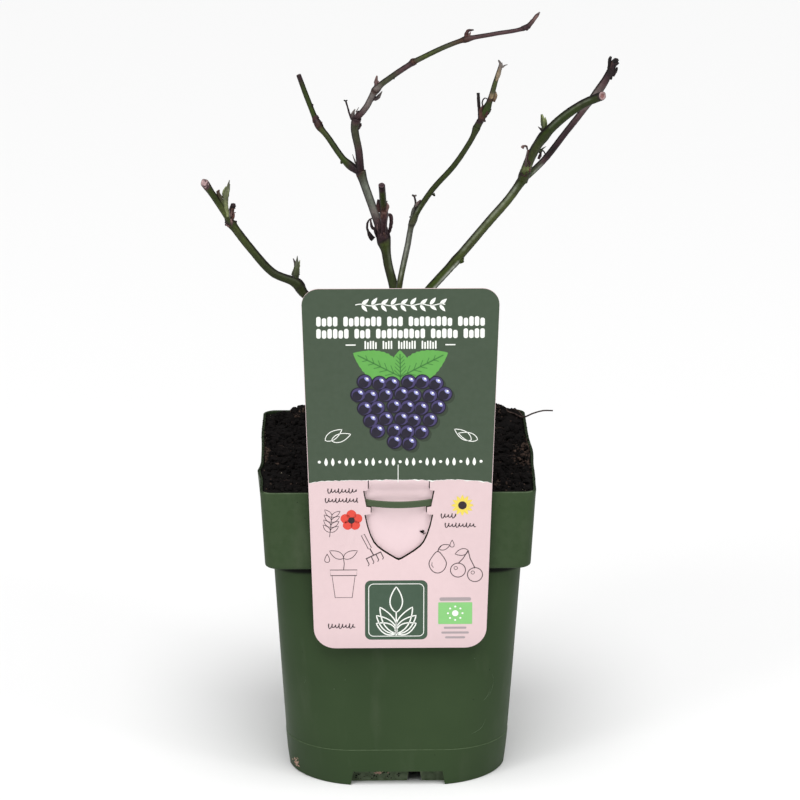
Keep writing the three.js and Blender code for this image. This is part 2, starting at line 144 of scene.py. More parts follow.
# The bowed strap on the collar that the label hangs on
COLLAR_SLOPE = (RIM_WIDTH - COLLAR_FOOT_WIDTH) / 2 / (POT_HEIGHT - COLLAR_FOOT)
BRIDGE_HEIGHT = 2.6
BRIDGE_MIDDLE = 125.6
BRIDGE_DROP = 0.3
BRIDGE_HALF_WIDTH = 17.3
BRIDGE_BOW = 5.8
BRIDGE_WALL = 0.9
BRIDGE_SINK = 0.4
BRIDGE_STEPS = 40
BRIDGE_EDGE = 0.25
BRIDGE_WALL_Y = RIM_WIDTH / 2 - (POT_HEIGHT - BRIDGE_MIDDLE) * COLLAR_SLOPE

# Places where the soft rim bows outwards. The bow starts at one x and is full at the next
BULGE_FROM = 30
BULGE_FULL = 50
RIM_BULGES = [
    {"side": -1, "push": 1.3, "y": -26, "reach": 6},
    {"side": -1, "push": 0.4, "y": 24, "reach": 14},
    {"side": 1, "push": 1.0, "y": -4, "reach": 13},
    {"side": 1, "push": 0.4, "y": -30, "reach": 12},
]

# Pale scuffs on the front wall, as a path of x and height with a width
SCUFF_STEPS = 24
SCUFFS = [
    ([(36.5, 37), (38.2, 41), (38.8, 45), (38, 48.5)], 0.6),
    ([(34.6, 36), (36.6, 38.6), (37.6, 42)], 0.4),
    ([(-38, 44), (-37.2, 46), (-37.4, 48)], 0.5),
    ([(-33, 60), (-32.4, 66), (-32.6, 72)], 0.3),
    ([(30, 22), (34, 24), (36, 28)], 0.3),
]
# Pale dots on the front wall: x, height and size
PALE_DOTS = [(-25.8, 43, 0.28), (-21.3, 47, 0.24), (12, 34, 0.18), (31, 56, 0.2), (-8, 27, 0.16)]
# Soil specks in the niches and on the walls, with the spans of their x, height and size
SPECK_LIFT = 0.1
NICHE_SPECKS = 60
NICHE_SPECK_X = (-18, 2)
NICHE_SPECK_HEIGHT = (0.8, 4.6)
NICHE_SPECK_SIZE = (0.12, 0.42)
WALL_SPECKS = 90
WALL_SPECK_X = (-46, 46)
WALL_SPECK_HEIGHTS = ((2, 90), (98, 129))
WALL_SPECK_SIZE = (0.08, 0.24)
# Clay smears: how many, middle and spread in x, middle and spread in height, and span of sizes
NICHE_SMEARS = (34, -7.4, 1.3, 3.6, 0.35, (0.25, 0.55))
CORNER_SMEARS = (44, -41.4, 0.7, 4.2, 1.3, (0.2, 0.42))
SMEAR_SINK = 0.06

# Soil
GAP = 0.3
SOIL_LEVEL = POT_HEIGHT - 1.6
SOIL_HALF_WIDTH = RIM_WIDTH / 2 - WALL - GAP
SOIL_CORNER = COLLAR_RADIUS - WALL - GAP
SOIL_FLAT_RADIUS = 9
SOIL_GRID = 150
SOIL_LIFT = 0.35
SOIL_DIP = 0.35
SOIL_SKIRT = 3
SOIL_EDGE = 50
LUMP_HEIGHT = 0.55
LUMP_PACE = 0.16
LUMP_NOISE = (0.6, 2.2, 4)
GRAIN_HEIGHT = 0.28
GRAIN_PACE = 0.9
GRAIN_NOISE = (0.7, 2.1, 3)
SOIL_MOUNDS = [
    {"x": -37, "y": 47, "height": 4.2, "reach": 8},
    {"x": 44, "y": 46, "height": 4.6, "reach": 8},
    {"x": 12, "y": 40, "height": 2.4, "reach": 16},
    {"x": -30, "y": 6, "height": -1.6, "reach": 14},
    {"x": 34, "y": -8, "height": -1.8, "reach": 15},
]
# Loose crumbs all over it: how many, and the sizes of the smallest and the largest
SCATTERED = {"dark": (5200, 0.25, 2.1), "brown": (300, 0.2, 0.9), "pale": (130, 0.12, 0.42)}
LARGE_CRUMB_SIZE = 0.9
# Every crumb is a small ball, squashed by a span of shares in x, y and z, with rough corners
CRUMB_SQUASH = ((0.6, 1.3), (0.6, 1.2), (0.45, 0.9))
CRUMB_ROUGHNESS = (0.72, 1.15)
CRUMB_LIFT = (-0.1, 0.5)
# Lumps of peat on the soil. This share of their crumbs is brown
PEAT_BROWN_SHARE = 0.6
PEAT_CRUMB_SIZE = (0.25, 0.95)
PEAT_LUMPS = [
    {"x": -37, "y": 46, "reach": 5, "crumbs": 150, "height": 1.5},
    {"x": 44, "y": 46, "reach": 5, "crumbs": 130, "height": 1.5},
    {"x": 54, "y": 1, "reach": 5, "crumbs": 190, "height": 2.6},
    {"x": 54, "y": -11, "reach": 7, "crumbs": 260, "height": 2.4},
    {"x": -55, "y": 0, "reach": 5, "crumbs": 120, "height": 1.8},
    {"x": -55, "y": -12, "reach": 5, "crumbs": 120, "height": 1.8},
    {"x": 42, "y": -43, "reach": 7, "crumbs": 150, "height": 0.8},
    {"x": -20, "y": 30, "reach": 8, "crumbs": 90, "height": 0.8},
    {"x": 14, "y": -30, "reach": 7, "crumbs": 70, "height": 0.6},
]
# Soil that sticks to the inside of the side walls: middle and spread along y, side, crumbs, kind
RIM_DIRT = [
    (0, 26, -1, 150, "dark"), (0, 26, 1, 150, "dark"),
    (4, 8, -1, 50, "brown"), (2, 9, 1, 60, "brown"), (-26, 6, 1, 20, "brown"),
]
RIM_DIRT_DEPTH = 1.6
RIM_DIRT_SIZE = (0.15, 0.5)
RIM_TOP_CRUMBS = 420
RIM_TOP_SIZE = (0.08, 0.3)
# Fine fibres on the soil, then the long root fibre over the right rim, with its spur
FIBRES = 130
FIBRE_STEPS = 6
FIBRE_BEND = 0.5
FIBRE_STRIDE = (0.5, 1.4)
FIBRE_THICKNESS = (0.06, 0.16)
FIBRE_LIFT = 0.25
FIBRE_ARCH = 0.5
FIBRE_DRAW_IN = 0.995
ROOT_STEPS = 30
ROOT_RADIUS = 0.38
ROOT_TAPER = 0.003
FIBRE_SIDES = 4
ROOT_SIDES = 8
SPUR_STEP = 14
SPUR_SIDES = 6
SPUR_RADII = [0.3, 0.26, 0.12]
SPUR = [(0, 0, 0), (-2, 2, 2.2), (-4.4, 3, 2.8)]
ROOT_FIBRE = [
    (44, 46, 132.4), (50, 42, 131.9), (53.6, 40, 130.9),
    (58, 38, 133.2), (62, 37, 134.6), (66, 36, 134.9),
]

# Label
LABEL_THICKNESS = 0.5
LABEL_LEAN = 3.1
LABEL_TOP_WIDTH = 77.2
LABEL_FOOT_WIDTH = 69.2
LABEL_RISE = 89.3
LABEL_DROP = 62.5
LABEL_TOP_RADIUS = 6.7
LABEL_FOOT_RADIUS = 8.7
LABEL_CENTRE_X = 0.8
TONGUE_CENTRE_X = 0.2
LABEL_CLEARANCE = 2.5
LABEL_EDGE = 0.09
TONGUE_SETBACK = 2
TONGUE_HINGE = 9.6
TONGUE_RAMP = 5.6
CUT_WIDTH = 0.36
CARD_SHIFT = LABEL_CENTRE_X - TONGUE_CENTRE_X
ARC_STEPS = 10
TONGUE_ROW = 0.5
TONGUE_COLUMNS = 8
TONGUE_LAP = 0.4
# Soil on the tongue's right edge: how many crumbs, middle and spread across and up, and their sizes
TONGUE_SPECKS = (9, 9.6, 0.35, -13.2, 0.45, (0.3, 0.6))
PRINT_LAYER = 0.03
# Wavy foot of the green panel: its height, how it droops at the sides, and its waves as height,
# pace and place in the noise
PANEL_STEPS = 90
PANEL_FOOT = 9.7
PANEL_DROOP = 1.6
PANEL_REACH = 37
PANEL_WAVES = ((0.7, 0.11, 4), (0.3, 0.7, 7))

# Rows of white pegs on the green panel: height on the card, height and width of a peg, groups
PEG_GAP = 0.42
GROUP_GAP = 1.9
TITLE_ROWS = [
    (75.9, 4.0, 1.75, (4, 7, 3, 8, 5)),
    (70.9, 4.0, 1.75, (6, 3, 9, 5, 4)),
    (66.2, 3.4, 0.62, (5, 4, 7, 6)),
]

# Rows of round berries on the green panel: height, how many, shift to the right
BERRY_ROWS = [(50.5, 6, 0), (45.4, 7, 0), (40.3, 6, 0), (35.2, 5, 0), (30.2, 4, 0), (25.4, 2, 0.4)]
BERRY_SPACING = 5.7
BERRY_RADIUS = 3.15
# A berry's layers above its shadow: piece, ink, shift right and up, share of the radius, corners,
# and for the glint its flatness and turn
BERRY_LAYERS = [
    ("berry_rims", "night", 0, 0, 1, 28),
    ("berry_skins", "violet", 0.12, 0.14, 0.84, 28),
    ("berry_cores", "night", -0.35, -0.4, 0.62, 28),
    ("berry_glints", "lavender", 0.95, 1.1, 0.36, 16, 0.6, -0.7),
    ("berry_sparks", "white", 1.1, 1.3, 0.14, 10),
]
# Pen squiggles on the pink half: x and height of the left end, length, height of the waves
SQUIGGLES = [
    (-28.5, 5.2, 12, 1.1), (-29.5, 1.2, 13.5, 1.1), (16.4, -5.6, 6.5, 1.1),
    (18, -9.6, 12.5, 1.1), (-28.5, -52.8, 11, 1.2),
]
# Middles of the drawings on the pink half
RED_FLOWER = (-18.8, -7.4)
YELLOW_FLOWER = (25.2, -1.2)
DARK_TILE = (-1, -46)
LIGHT_TILE = (22.6, -47.5)
# Grey bars in place of small wording: middle height, length and thickness
NOTES = [(-41.4, 12.6, 1.5), (-53.8, 9, 0.9), (-55.9, 11, 0.9), (-58, 8, 0.9)]

# Right half of the tongue's outline, from its hinge down to its point: half width, height
TONGUE_OUTLINE = [
    (11.9, 11.5), (11.9, 5.3), (13.8, 5), (12.5, -1.8), (10.8, -2.1),
    (10.8, -4.9), (13.3, -5.2), (12.3, -10), (11.1, -14), (9.7, -17.1), (8.2, -19), (6, -20.8),
    (3.2, -22.7), (1, -24.1), (0, -24.4),
]

# Colours as red, green and blue from 0 to 255
PALETTE = {
    "deep_green": (46, 56, 22),
    "moss_green": (68, 78, 36),
    "grass_green": (50, 66, 16),
    "fresh_green": (132, 142, 92),
    "bloom": (92, 96, 86),
    "grey_green": (68, 70, 52),
    "purple": (76, 56, 58),
    "plum": (48, 32, 36),
    "brown": (74, 50, 40),
    "rust": (80, 47, 41),
    "dark": (22, 16, 17),
    "grey": (112, 104, 100),
    "skin": (124, 98, 94),
    "straw": (146, 128, 98),
    "wax_highlight": (192, 198, 184),
    "pale_wood": (166, 138, 138),
    "pith": (138, 96, 94),
    "old_bark": (84, 70, 58),
}

# Soil and root stuff: the darkest and the lightest colour of each
MATTER = {
    "moist soil": ((6, 5, 5), (20, 16, 15)),
    "brown peat": ((40, 31, 27), (76, 62, 54)),
    "pale grit": ((150, 140, 122), (190, 180, 160)),
    "root fibre": ((44, 36, 34), (82, 68, 62)),
    "clay smear": ((168, 138, 122), (220, 190, 172)),
    "pale scuff": ((72, 90, 64), (108, 124, 98)),
}
# Plastic of the pot and of its strap, two shades each, with the dust and the specks on it. The
# strap is the same plastic, painted lighter as light on its bowed face
POT_SHADES = ((50, 67, 42), (55, 72, 46))
STRAP_LIT_SHADES = ((69, 82, 60), (77, 90, 68))
DUST = (84, 92, 74)
SPECKS = (36, 46, 30)
# The card and its tongue, which is the same card painted lighter against the shade it sits in,
# then the inks of the print
CARD_COLOUR = (223, 198, 200)
TONGUE_LIGHTENED_COLOUR = (234, 209, 212)
INKS = {
    "white": (244, 246, 240),
    "shadow": (50, 62, 46),
    "leaf": (98, 168, 78),
    "vein": (62, 122, 56),
    "night": (26, 20, 40),
    "violet": (66, 58, 104),
    "lavender": (150, 152, 212),
    "pencil": (66, 52, 56),
    "red": (222, 72, 58),
    "yellow": (236, 214, 92),
    "black": (44, 34, 38),
    "tile": (62, 84, 66),
    "light green": (136, 201, 123),
    "grey": (168, 156, 158),
    "panel": (64, 79, 61),
}
GLOSSY_INKS = ("night", "violet", "lavender")

# Noise patterns of the materials: repeats per metre, detail, and the two ends of the ramp
CLOUD = (26, 3, 0.3, 0.7)
DUSTY = (90, 6, 0.56, 0.85)
SPECKLED = (1500, 2, 0.74, 0.78)
LIGHT_MOTTLE = (380, 4, 0.3, 0.6)
SHEEN = (60, 5, 0.3, 0.75)
SOIL_GRAIN = (700, 8, 0.35, 0.72)
FINE_MOTTLE = (900, 6, 0.3, 0.7)
BROAD_MOTTLE = (160, 3, 0.3, 0.7)
INK_MOTTLE = (420, 5, 0.3, 0.7)
# Bumps of the materials: repeats per metre, detail, strength and depth in metres
WALL_BUMP = (140, 3, 0.25, 0.0003)
PLASTIC_BUMP = (3200, 2, 0.1, 0.00005)
SOIL_BUMP = (1600, 8, 0.8, 0.0006)
INK_BUMP = (40, 2, 0.15, 0.0002)
WRINKLES = (2200, 4)
WRINKLE_DEPTH = 0.0002
PLASTIC_SPECULAR = 0.08
SOIL_SPECULAR = 0.12
INK_SPECULAR = 0.3
PLAIN_ROUGHNESS = 0.42
GLOSSY_ROUGHNESS = 0.35

# Canes and the small parts on them: their steps, and how strong their shades and marks are
LIMB_SIDES = 24
LIMB_STEP = 0.5
LIMB_EMBED = 0.9
BIT_STEPS = 6
BIT_SIDES = 8
FLANK_SHADE = 0.9
BLOOM_AND_TOP_LIGHT_SHARE = 0.14
WAX_HIGHLIGHT_SHARE = 0.5
WAX_HIGHLIGHT_EDGE = 0.05
WAX_HIGHLIGHT_FACING = 0.2
BLOTCH_SHARE = 0.3
SCAR_SHADE = 0.7
TINT_WANDER = 0.9
SCAR_HEIGHT = 0.08
SCAR_REACH = 0.4
SLANT_REACH = 3
SLANT = 0.4
SLOPE_REACH = 5
STEM_COARSE = 3
BARK_RIDGES = 5
RIDGE_RELIEF = 0.03
FURROW_RELIEF = 0.07
PIMPLE_RELIEF = 0.035
SEED_STEP = 3.7
CURVE_SAMPLES = 24
TANGENT_REACH = 0.01
RAGGED_ENDS = (-0.5, 1.4)
BIT_ROUGHNESS = 0.28
BIT_SHADE = 0.35
PITH_MOTTLE = 0.9
# Finish of the plant's materials: roughness, wrinkles, blotches and specular
FINISHES = {
    "bark": (0.5, 0.4, 0.22, 0.18),
    "old bark": (0.85, 0.9, 0.45, 0.5),
    "young leaf": (0.55, 0.4, 0.25, 0.5),
    "dry scale": (0.8, 0.7, 0.45, 0.3),
}

# Ends of the limbs as rings: share of the radius, lift and tint, where wood and pith are a limb's own
ENDS = {
    "joined": [(0.5, 0, "dark")],
    "point": [(0.7, 0.8, "purple"), (0.35, 1.8, "grey")],
    "broken": [(0.75, 0.2, "dark"), (0.4, -0.4, "brown")],
    "cut": [
        (0.93, 0.08, "dark"), (0.86, 0.12, "wood"), (0.6, 0.08, "wood"),
        (0.42, 0, "pith"), (0.2, -0.1, "pith"),
    ],
}

# Canes. Each one grows from a share of another limb's length. Internodes are length, lean from
# upright and compass heading, with 0 to the right and 90 to the back. Knots are thicker places:
# share of length, extra radius, reach. Scars are the shares where a leaf scar rings the cane, and
# slant is how far such a ring leans. Tints are colours by share of length, and tone lightens or
# darkens them all. Wax highlights are pale streaks of wax bloom, placed as painted highlights on the
# side that faces the front: from and to which share, how far across that side, how wide and how
# strong. A limb ends in a joint unless its end is named: slope is how far a cut face leans to the
# front, wood and pith are its colours, and stain is how blotched it is, with its right side darker
# as painted shade.
LIMBS = [
    {"name": "stem", "radius": (3.7, 2.9),
     "internodes": [(22, 1, -114), (19, 2, -78), (14, 1, 0)],
     "knots": [(0, 2, 5), (0.72, 0.6, 3.5), (0.96, 0.5, 4)], "scars": [0.3, 0.62],
     "tints": [(0, "dark"), (0.15, "old_bark"), (0.7, "old_bark"), (1, "purple")]},
    {"name": "cane_left", "start": ("stem", 0.735), "radius": (1.95, 1.6), "tone": 0.72,
     "internodes": [(23.5, 54.5, 171), (21.5, 59, 167), (5.5, 38, 165), (10.5, 68, 168), (14, 45, 163),
                    (12, 39, 163)],
     "knots": [(0.57, 0.6, 3), (1, 0.35, 1.6)], "scars": [0.555],
     "tints": [(0, "purple"), (0.1, "deep_green"), (0.53, "deep_green"), (0.75, "deep_green"),
               (0.9, "moss_green"), (0.97, "moss_green"), (1, "deep_green")]},
    {"name": "cane_left_tip", "start": ("cane_left", 1), "radius": (1.35, 1.4), "tone": 1.15,
     "end": "cut", "slope": 0.9, "pith": "pale_wood", "stain_and_shade": 0.9,
     "internodes": [(10, 31, -168), (10.8, 33, -159)],
     "knots": [(0, 0.4, 1.6), (1, 0.3, 3)],
     "tints": [(0, "deep_green"), (0.03, "plum"), (0.06, "deep_green"), (0.3, "moss_green"),
               (0.6, "deep_green"), (0.92, "deep_green"), (1, "purple")]},
    {"name": "cane_middle", "start": ("stem", 1), "radius": (1.9, 1.65), "tone": 0.92, "slant": 0.9,
     "internodes": [(14, 17, 104), (10, 23, 127), (9.5, 15, 127), (12, 21, 152), (14, 21, 156),
                    (4, 17, 157)],
     "knots": [(0.545, 1.2, 3.8), (1, 0.5, 3)], "scars": [0.53, 0.998],
     "wax_highlights": [(0.66, 0.97, 0.3, 0.35, 0.2), (0.3, 0.5, 0.5, 0.25, 0.25)],
     "tints": [(0, "deep_green"), (0.44, "deep_green"), (0.51, "moss_green"), (0.535, "plum"),
               (0.56, "plum"), (0.6, "purple"), (0.66, "purple"), (0.72, "grey"), (0.79, "bloom"),
               (0.9, "bloom"), (0.985, "grey_green"), (0.998, "brown"), (1, "plum")]},
    {"name": "stub_middle", "start": ("cane_middle", 0.55), "radius": (1.4, 1.35), "end": "cut",
     "slope": 0.3, "wood": "purple", "pith": "plum", "stain_and_shade": 0.5,
     "internodes": [(11.5, 26, -89), (14.9, 20, -100)],
     "knots": [(0.45, 0.5, 2.5)], "scars": [0.58],
     "tints": [(0, "plum"), (0.45, "purple"), (0.58, "brown"), (0.66, "deep_green"),
               (0.88, "deep_green"), (0.94, "plum"), (1, "dark")]},
    {"name": "cane_middle_upper", "start": ("cane_middle", 1), "radius": (1.55, 1.4), "tone": 0.85,
     "internodes": [(8.5, 6, -145), (10, 11, -148), (4.5, 17, -49)],
     "knots": [(0.75, 0.15, 5), (0.98, 0.5, 3)],
     "tints": [(0, "brown"), (0.04, "plum"), (0.12, "plum"), (0.35, "purple"), (0.6, "grey_green"),
               (0.88, "grey_green"), (0.96, "purple"), (1, "plum")]},
    {"name": "arch_lower", "start": ("cane_middle_upper", 1), "radius": (1.3, 1.1), "tone": 0.96,
     "internodes": [(6.5, 41, -29), (9, 30, -26), (9, 50, -26), (12, 54.5, -23)],
     "knots": [(0.42, 0.4, 2), (1, 0.3, 2)], "scars": [0.4, 0.96],
     "tints": [(0, "plum"), (0.08, "purple"), (0.25, "grey"), (0.38, "grey"), (0.41, "brown"),
               (0.46, "grey"), (0.55, "grey_green"), (0.7, "grey_green"), (0.82, "purple"),
               (0.97, "purple"), (1, "brown")]},
    {"name": "arch_outer", "start": ("arch_lower", 1), "radius": (1.1, 0.75), "end": "point",
     "internodes": [(15, 62, -22), (10, 68, -20), (11, 77, -15), (13.5, 75, -14), (6, 40, -13)],
     "knots": [(0.44, 0.4, 2), (0.88, 0.3, 2)], "scars": [0.42, 0.86],
     "tints": [(0, "brown"), (0.03, "grey_green"), (0.1, "moss_green"), (0.3, "grey_green"),
               (0.41, "brown"), (0.5, "purple"), (0.84, "purple"), (0.9, "plum"), (1, "skin")]},
    {"name": "branch_middle_left", "start": ("cane_middle", 0.98), "radius": (1.3, 1), "tone": 0.85,
     "end": "cut", "slope": 0.3, "wood": "grey", "pith": "plum",
     "internodes": [(9, 60, 148), (12.5, 45, 143), (6, 44, 150), (9.5, 30, 141), (12.5, 26, 142)],
     "knots": [(0.12, 0.5, 3), (0.56, 0.5, 2.4)], "scars": [0.06, 0.53],
     "tints": [(0, "plum"), (0.1, "plum"), (0.17, "grass_green"), (0.4, "deep_green"),
               (0.5, "moss_green"), (0.54, "brown"), (0.6, "plum"), (0.64, "grass_green"),
               (0.9, "deep_green"), (0.97, "plum"), (1, "plum")]},
    {"name": "cane_front", "start": ("stem", 0.98), "radius": (1.25, 1.05), "tone": 1.08,
     "internodes": [(17, 18, -81), (20, 15, -49), (12, 18, -53), (14.5, 31, -22), (15, 40, -18),
                    (14, 33, -24), (5, 23, -23)],
     "knots": [(0.5, 0.4, 2.2), (1, 0.5, 2.4)], "scars": [0.48],
     "wax_highlights": [(0.2, 0.48, -0.2, 0.28, 1.3), (0.52, 0.6, -0.45, 0.25, 0.6)],
     "tints": [(0, "deep_green"), (0.25, "moss_green"), (0.36, "bloom"), (0.44, "bloom"),
               (0.5, "grey_green"), (0.55, "deep_green"), (0.9, "deep_green"), (0.96, "deep_green"),
               (1, "deep_green")]},
    {"name": "cane_front_tip", "start": ("cane_front", 1), "radius": (1.4, 0.75), "end": "broken",
     "internodes": [(7, 28, -19), (7.5, 24, -36), (6.5, 22, -54), (7.5, 19, -34)],
     "knots": [(0.3, 0.5, 2.4)], "scars": [0.1, 0.46],
     "tints": [(0, "deep_green"), (0.07, "deep_green"), (0.1, "plum"), (0.18, "brown"),
               (0.24, "grass_green"), (0.42, "deep_green"), (0.47, "brown"), (0.53, "straw"),
               (0.6, "grey_green"), (0.72, "moss_green"), (0.8, "grey_green"), (0.88, "straw"),
               (1, "grey")]},
    {"name": "cane_right", "start": ("stem", 0.945), "radius": (1.9, 1.68), "tone": 1.05,
     "internodes": [(22.5, 37.3, -13), (14, 40.5, -13), (24.5, 38.8, -11), (12, 39.5, -8),
                    (10, 34.5, -9)],
     "knots": [(0.47, 0.22, 2.5), (1, 0.3, 3)],
     "wax_highlights": [(0.1, 0.5, 0.45, 0.22, 2.8), (0.5, 0.99, -0.4, 0.3, 0.5), (0.72, 0.99, -0.5, 0.25, 0.25)],
     "tints": [(0, "deep_green"), (0.3, "grass_green"), (0.6, "moss_green"), (0.9, "moss_green"),
               (0.97, "deep_green"), (1, "deep_green")]},
    {"name": "branch_right_green", "start": ("cane_right", 1), "radius": (1.95, 1.7), "tone": 0.66,
     "slant": 0.9, "end": "cut", "slope": 0.7, "stain_and_shade": 0.35,
     "internodes": [(8, 25, -56), (11.5, 31.5, -44), (12, 42, -30), (12.5, 52, -24), (9, 64, -16)],
     "knots": [(0.04, 0.35, 2.6), (0.42, 0.3, 2.5)], "scars": [0.06],
     "wax_highlights": [(0.5, 0.95, -0.5, 0.2, 0.3)],
     "tints": [(0, "moss_green"), (0.05, "moss_green"), (0.06, "plum"), (0.075, "moss_green"),
               (0.12, "fresh_green"), (0.18, "moss_green"), (0.34, "moss_green"), (0.42, "grass_green"),
               (0.8, "grass_green"), (0.97, "deep_green"), (1, "plum")]},
    {"name": "branch_right_brown", "start": ("cane_right", 0.98), "radius": (1.3, 1.25), "tone": 0.9,
     "end": "broken",
     "internodes": [(13, 52.5, 25), (14, 43, 24), (14.5, 43.5, 26), (11, 41, 24), (9.5, 32, 30)],
     "knots": [(0.8, 0.45, 6)], "scars": [0.24], "wax_highlights": [(0.06, 0.2, 0.3, 0.3, 1.1)],
     "tints": [(0, "moss_green"), (0.1, "grass_green"), (0.15, "grey_green"), (0.2, "purple"),
               (0.25, "plum"), (0.3, "dark"), (0.35, "plum"), (0.45, "plum"), (0.6, "purple"),
               (0.72, "grey"), (0.84, "purple"), (0.88, "plum"), (0.92, "dark"), (1, "dark")]},
]

# Small parts, in groups that grow from one share of a limb's length. Each part is a ribbon: its
# path as spots of right, up and half width in millimetres, its first and its last colour, how far
# it stands to the front where it does, and how round it is where that isn't a half

# Green sprouts: a folded bundle of young leaves with a few free tips
SPROUTS = [
    ("cane_left", 0.6, [
        ([(1.3, 0.2, 0.8), (1, 2.6, 1.75), (1.5, 5.7, 1.2), (1.6, 8.1, 0.8)],
         "deep_green", "moss_green", 0, 0.8),
        ([(1.2, 4.2, 0.5), (0.9, 7.4, 0.65), (0.1, 9.6, 0.15)], "grey_green", "plum"),
        ([(1.5, 4.6, 0.9), (1.6, 7.6, 0.75), (1.8, 10.8, 0.12)], "moss_green", "bloom", 0.5),
        ([(1.9, 4, 0.5), (2.3, 6.6, 0.6), (2.8, 8.9, 0.15)], "moss_green", "fresh_green"),
        ([(0.4, 0.8, 0.5), (0.1, 3, 0.4), (0.5, 5, 0.1)], "dark", "grey_green", 0.9),
    ]),
    ("cane_left_tip", 0.5, [
        ([(3.6, -5.6, 0.8), (3, -1.6, 0.95), (3, 0.6, 0.85), (2.9, 3.4, 1.25), (3.8, 6.4, 0.7),
         (4.5, 9.8, 0.12)], "fresh_green", "grey_green", 0.2, 0.6),
        ([(2.6, 0.9, 0.6), (2.1, 4.3, 0.8), (3.1, 7.1, 0.15)], "moss_green", "fresh_green"),
        ([(3.3, 3, 0.5), (4.1, 5.6, 0.55), (4.7, 8.2, 0.1)], "fresh_green", "bloom", 0.5),
        ([(1.6, 0, 0.7), (0.4, 3, 1), (-0.3, 5.1, 0.7)], "moss_green", "brown"),
        ([(2.9, -3.4, 0.5), (2.2, -0.6, 0.95), (1.6, 1.6, 0.5)], "moss_green", "moss_green"),
        ([(-0.8, 4.9, 0.35), (0.5, 5.6, 0.35)], "rust", "rust", 0.3),
    ]),
    ("branch_right_green", 0.42, [
        ([(0.5, 1, 0.8), (0, 3.2, 0.9), (-0.4, 6.4, 1), (-0.9, 8.9, 0.4)],
         "deep_green", "moss_green", 0, 0.7),
        ([(0.2, 3.4, 0.4), (0.1, 6.2, 0.6), (-0.7, 8.8, 0.2)], "moss_green", "fresh_green", 0.6),
        ([(0.9, 2.8, 0.4), (0.9, 5, 0.55), (0.5, 7.9, 0.15)], "grass_green", "fresh_green", 0.3),
    ]),
    ("branch_right_green", 0.25, [
        ([(2.2, 0, 0.6), (3.9, 1.7, 0.4), (5.2, 2.6, 0.08)], "deep_green", "grass_green"),
    ]),
]

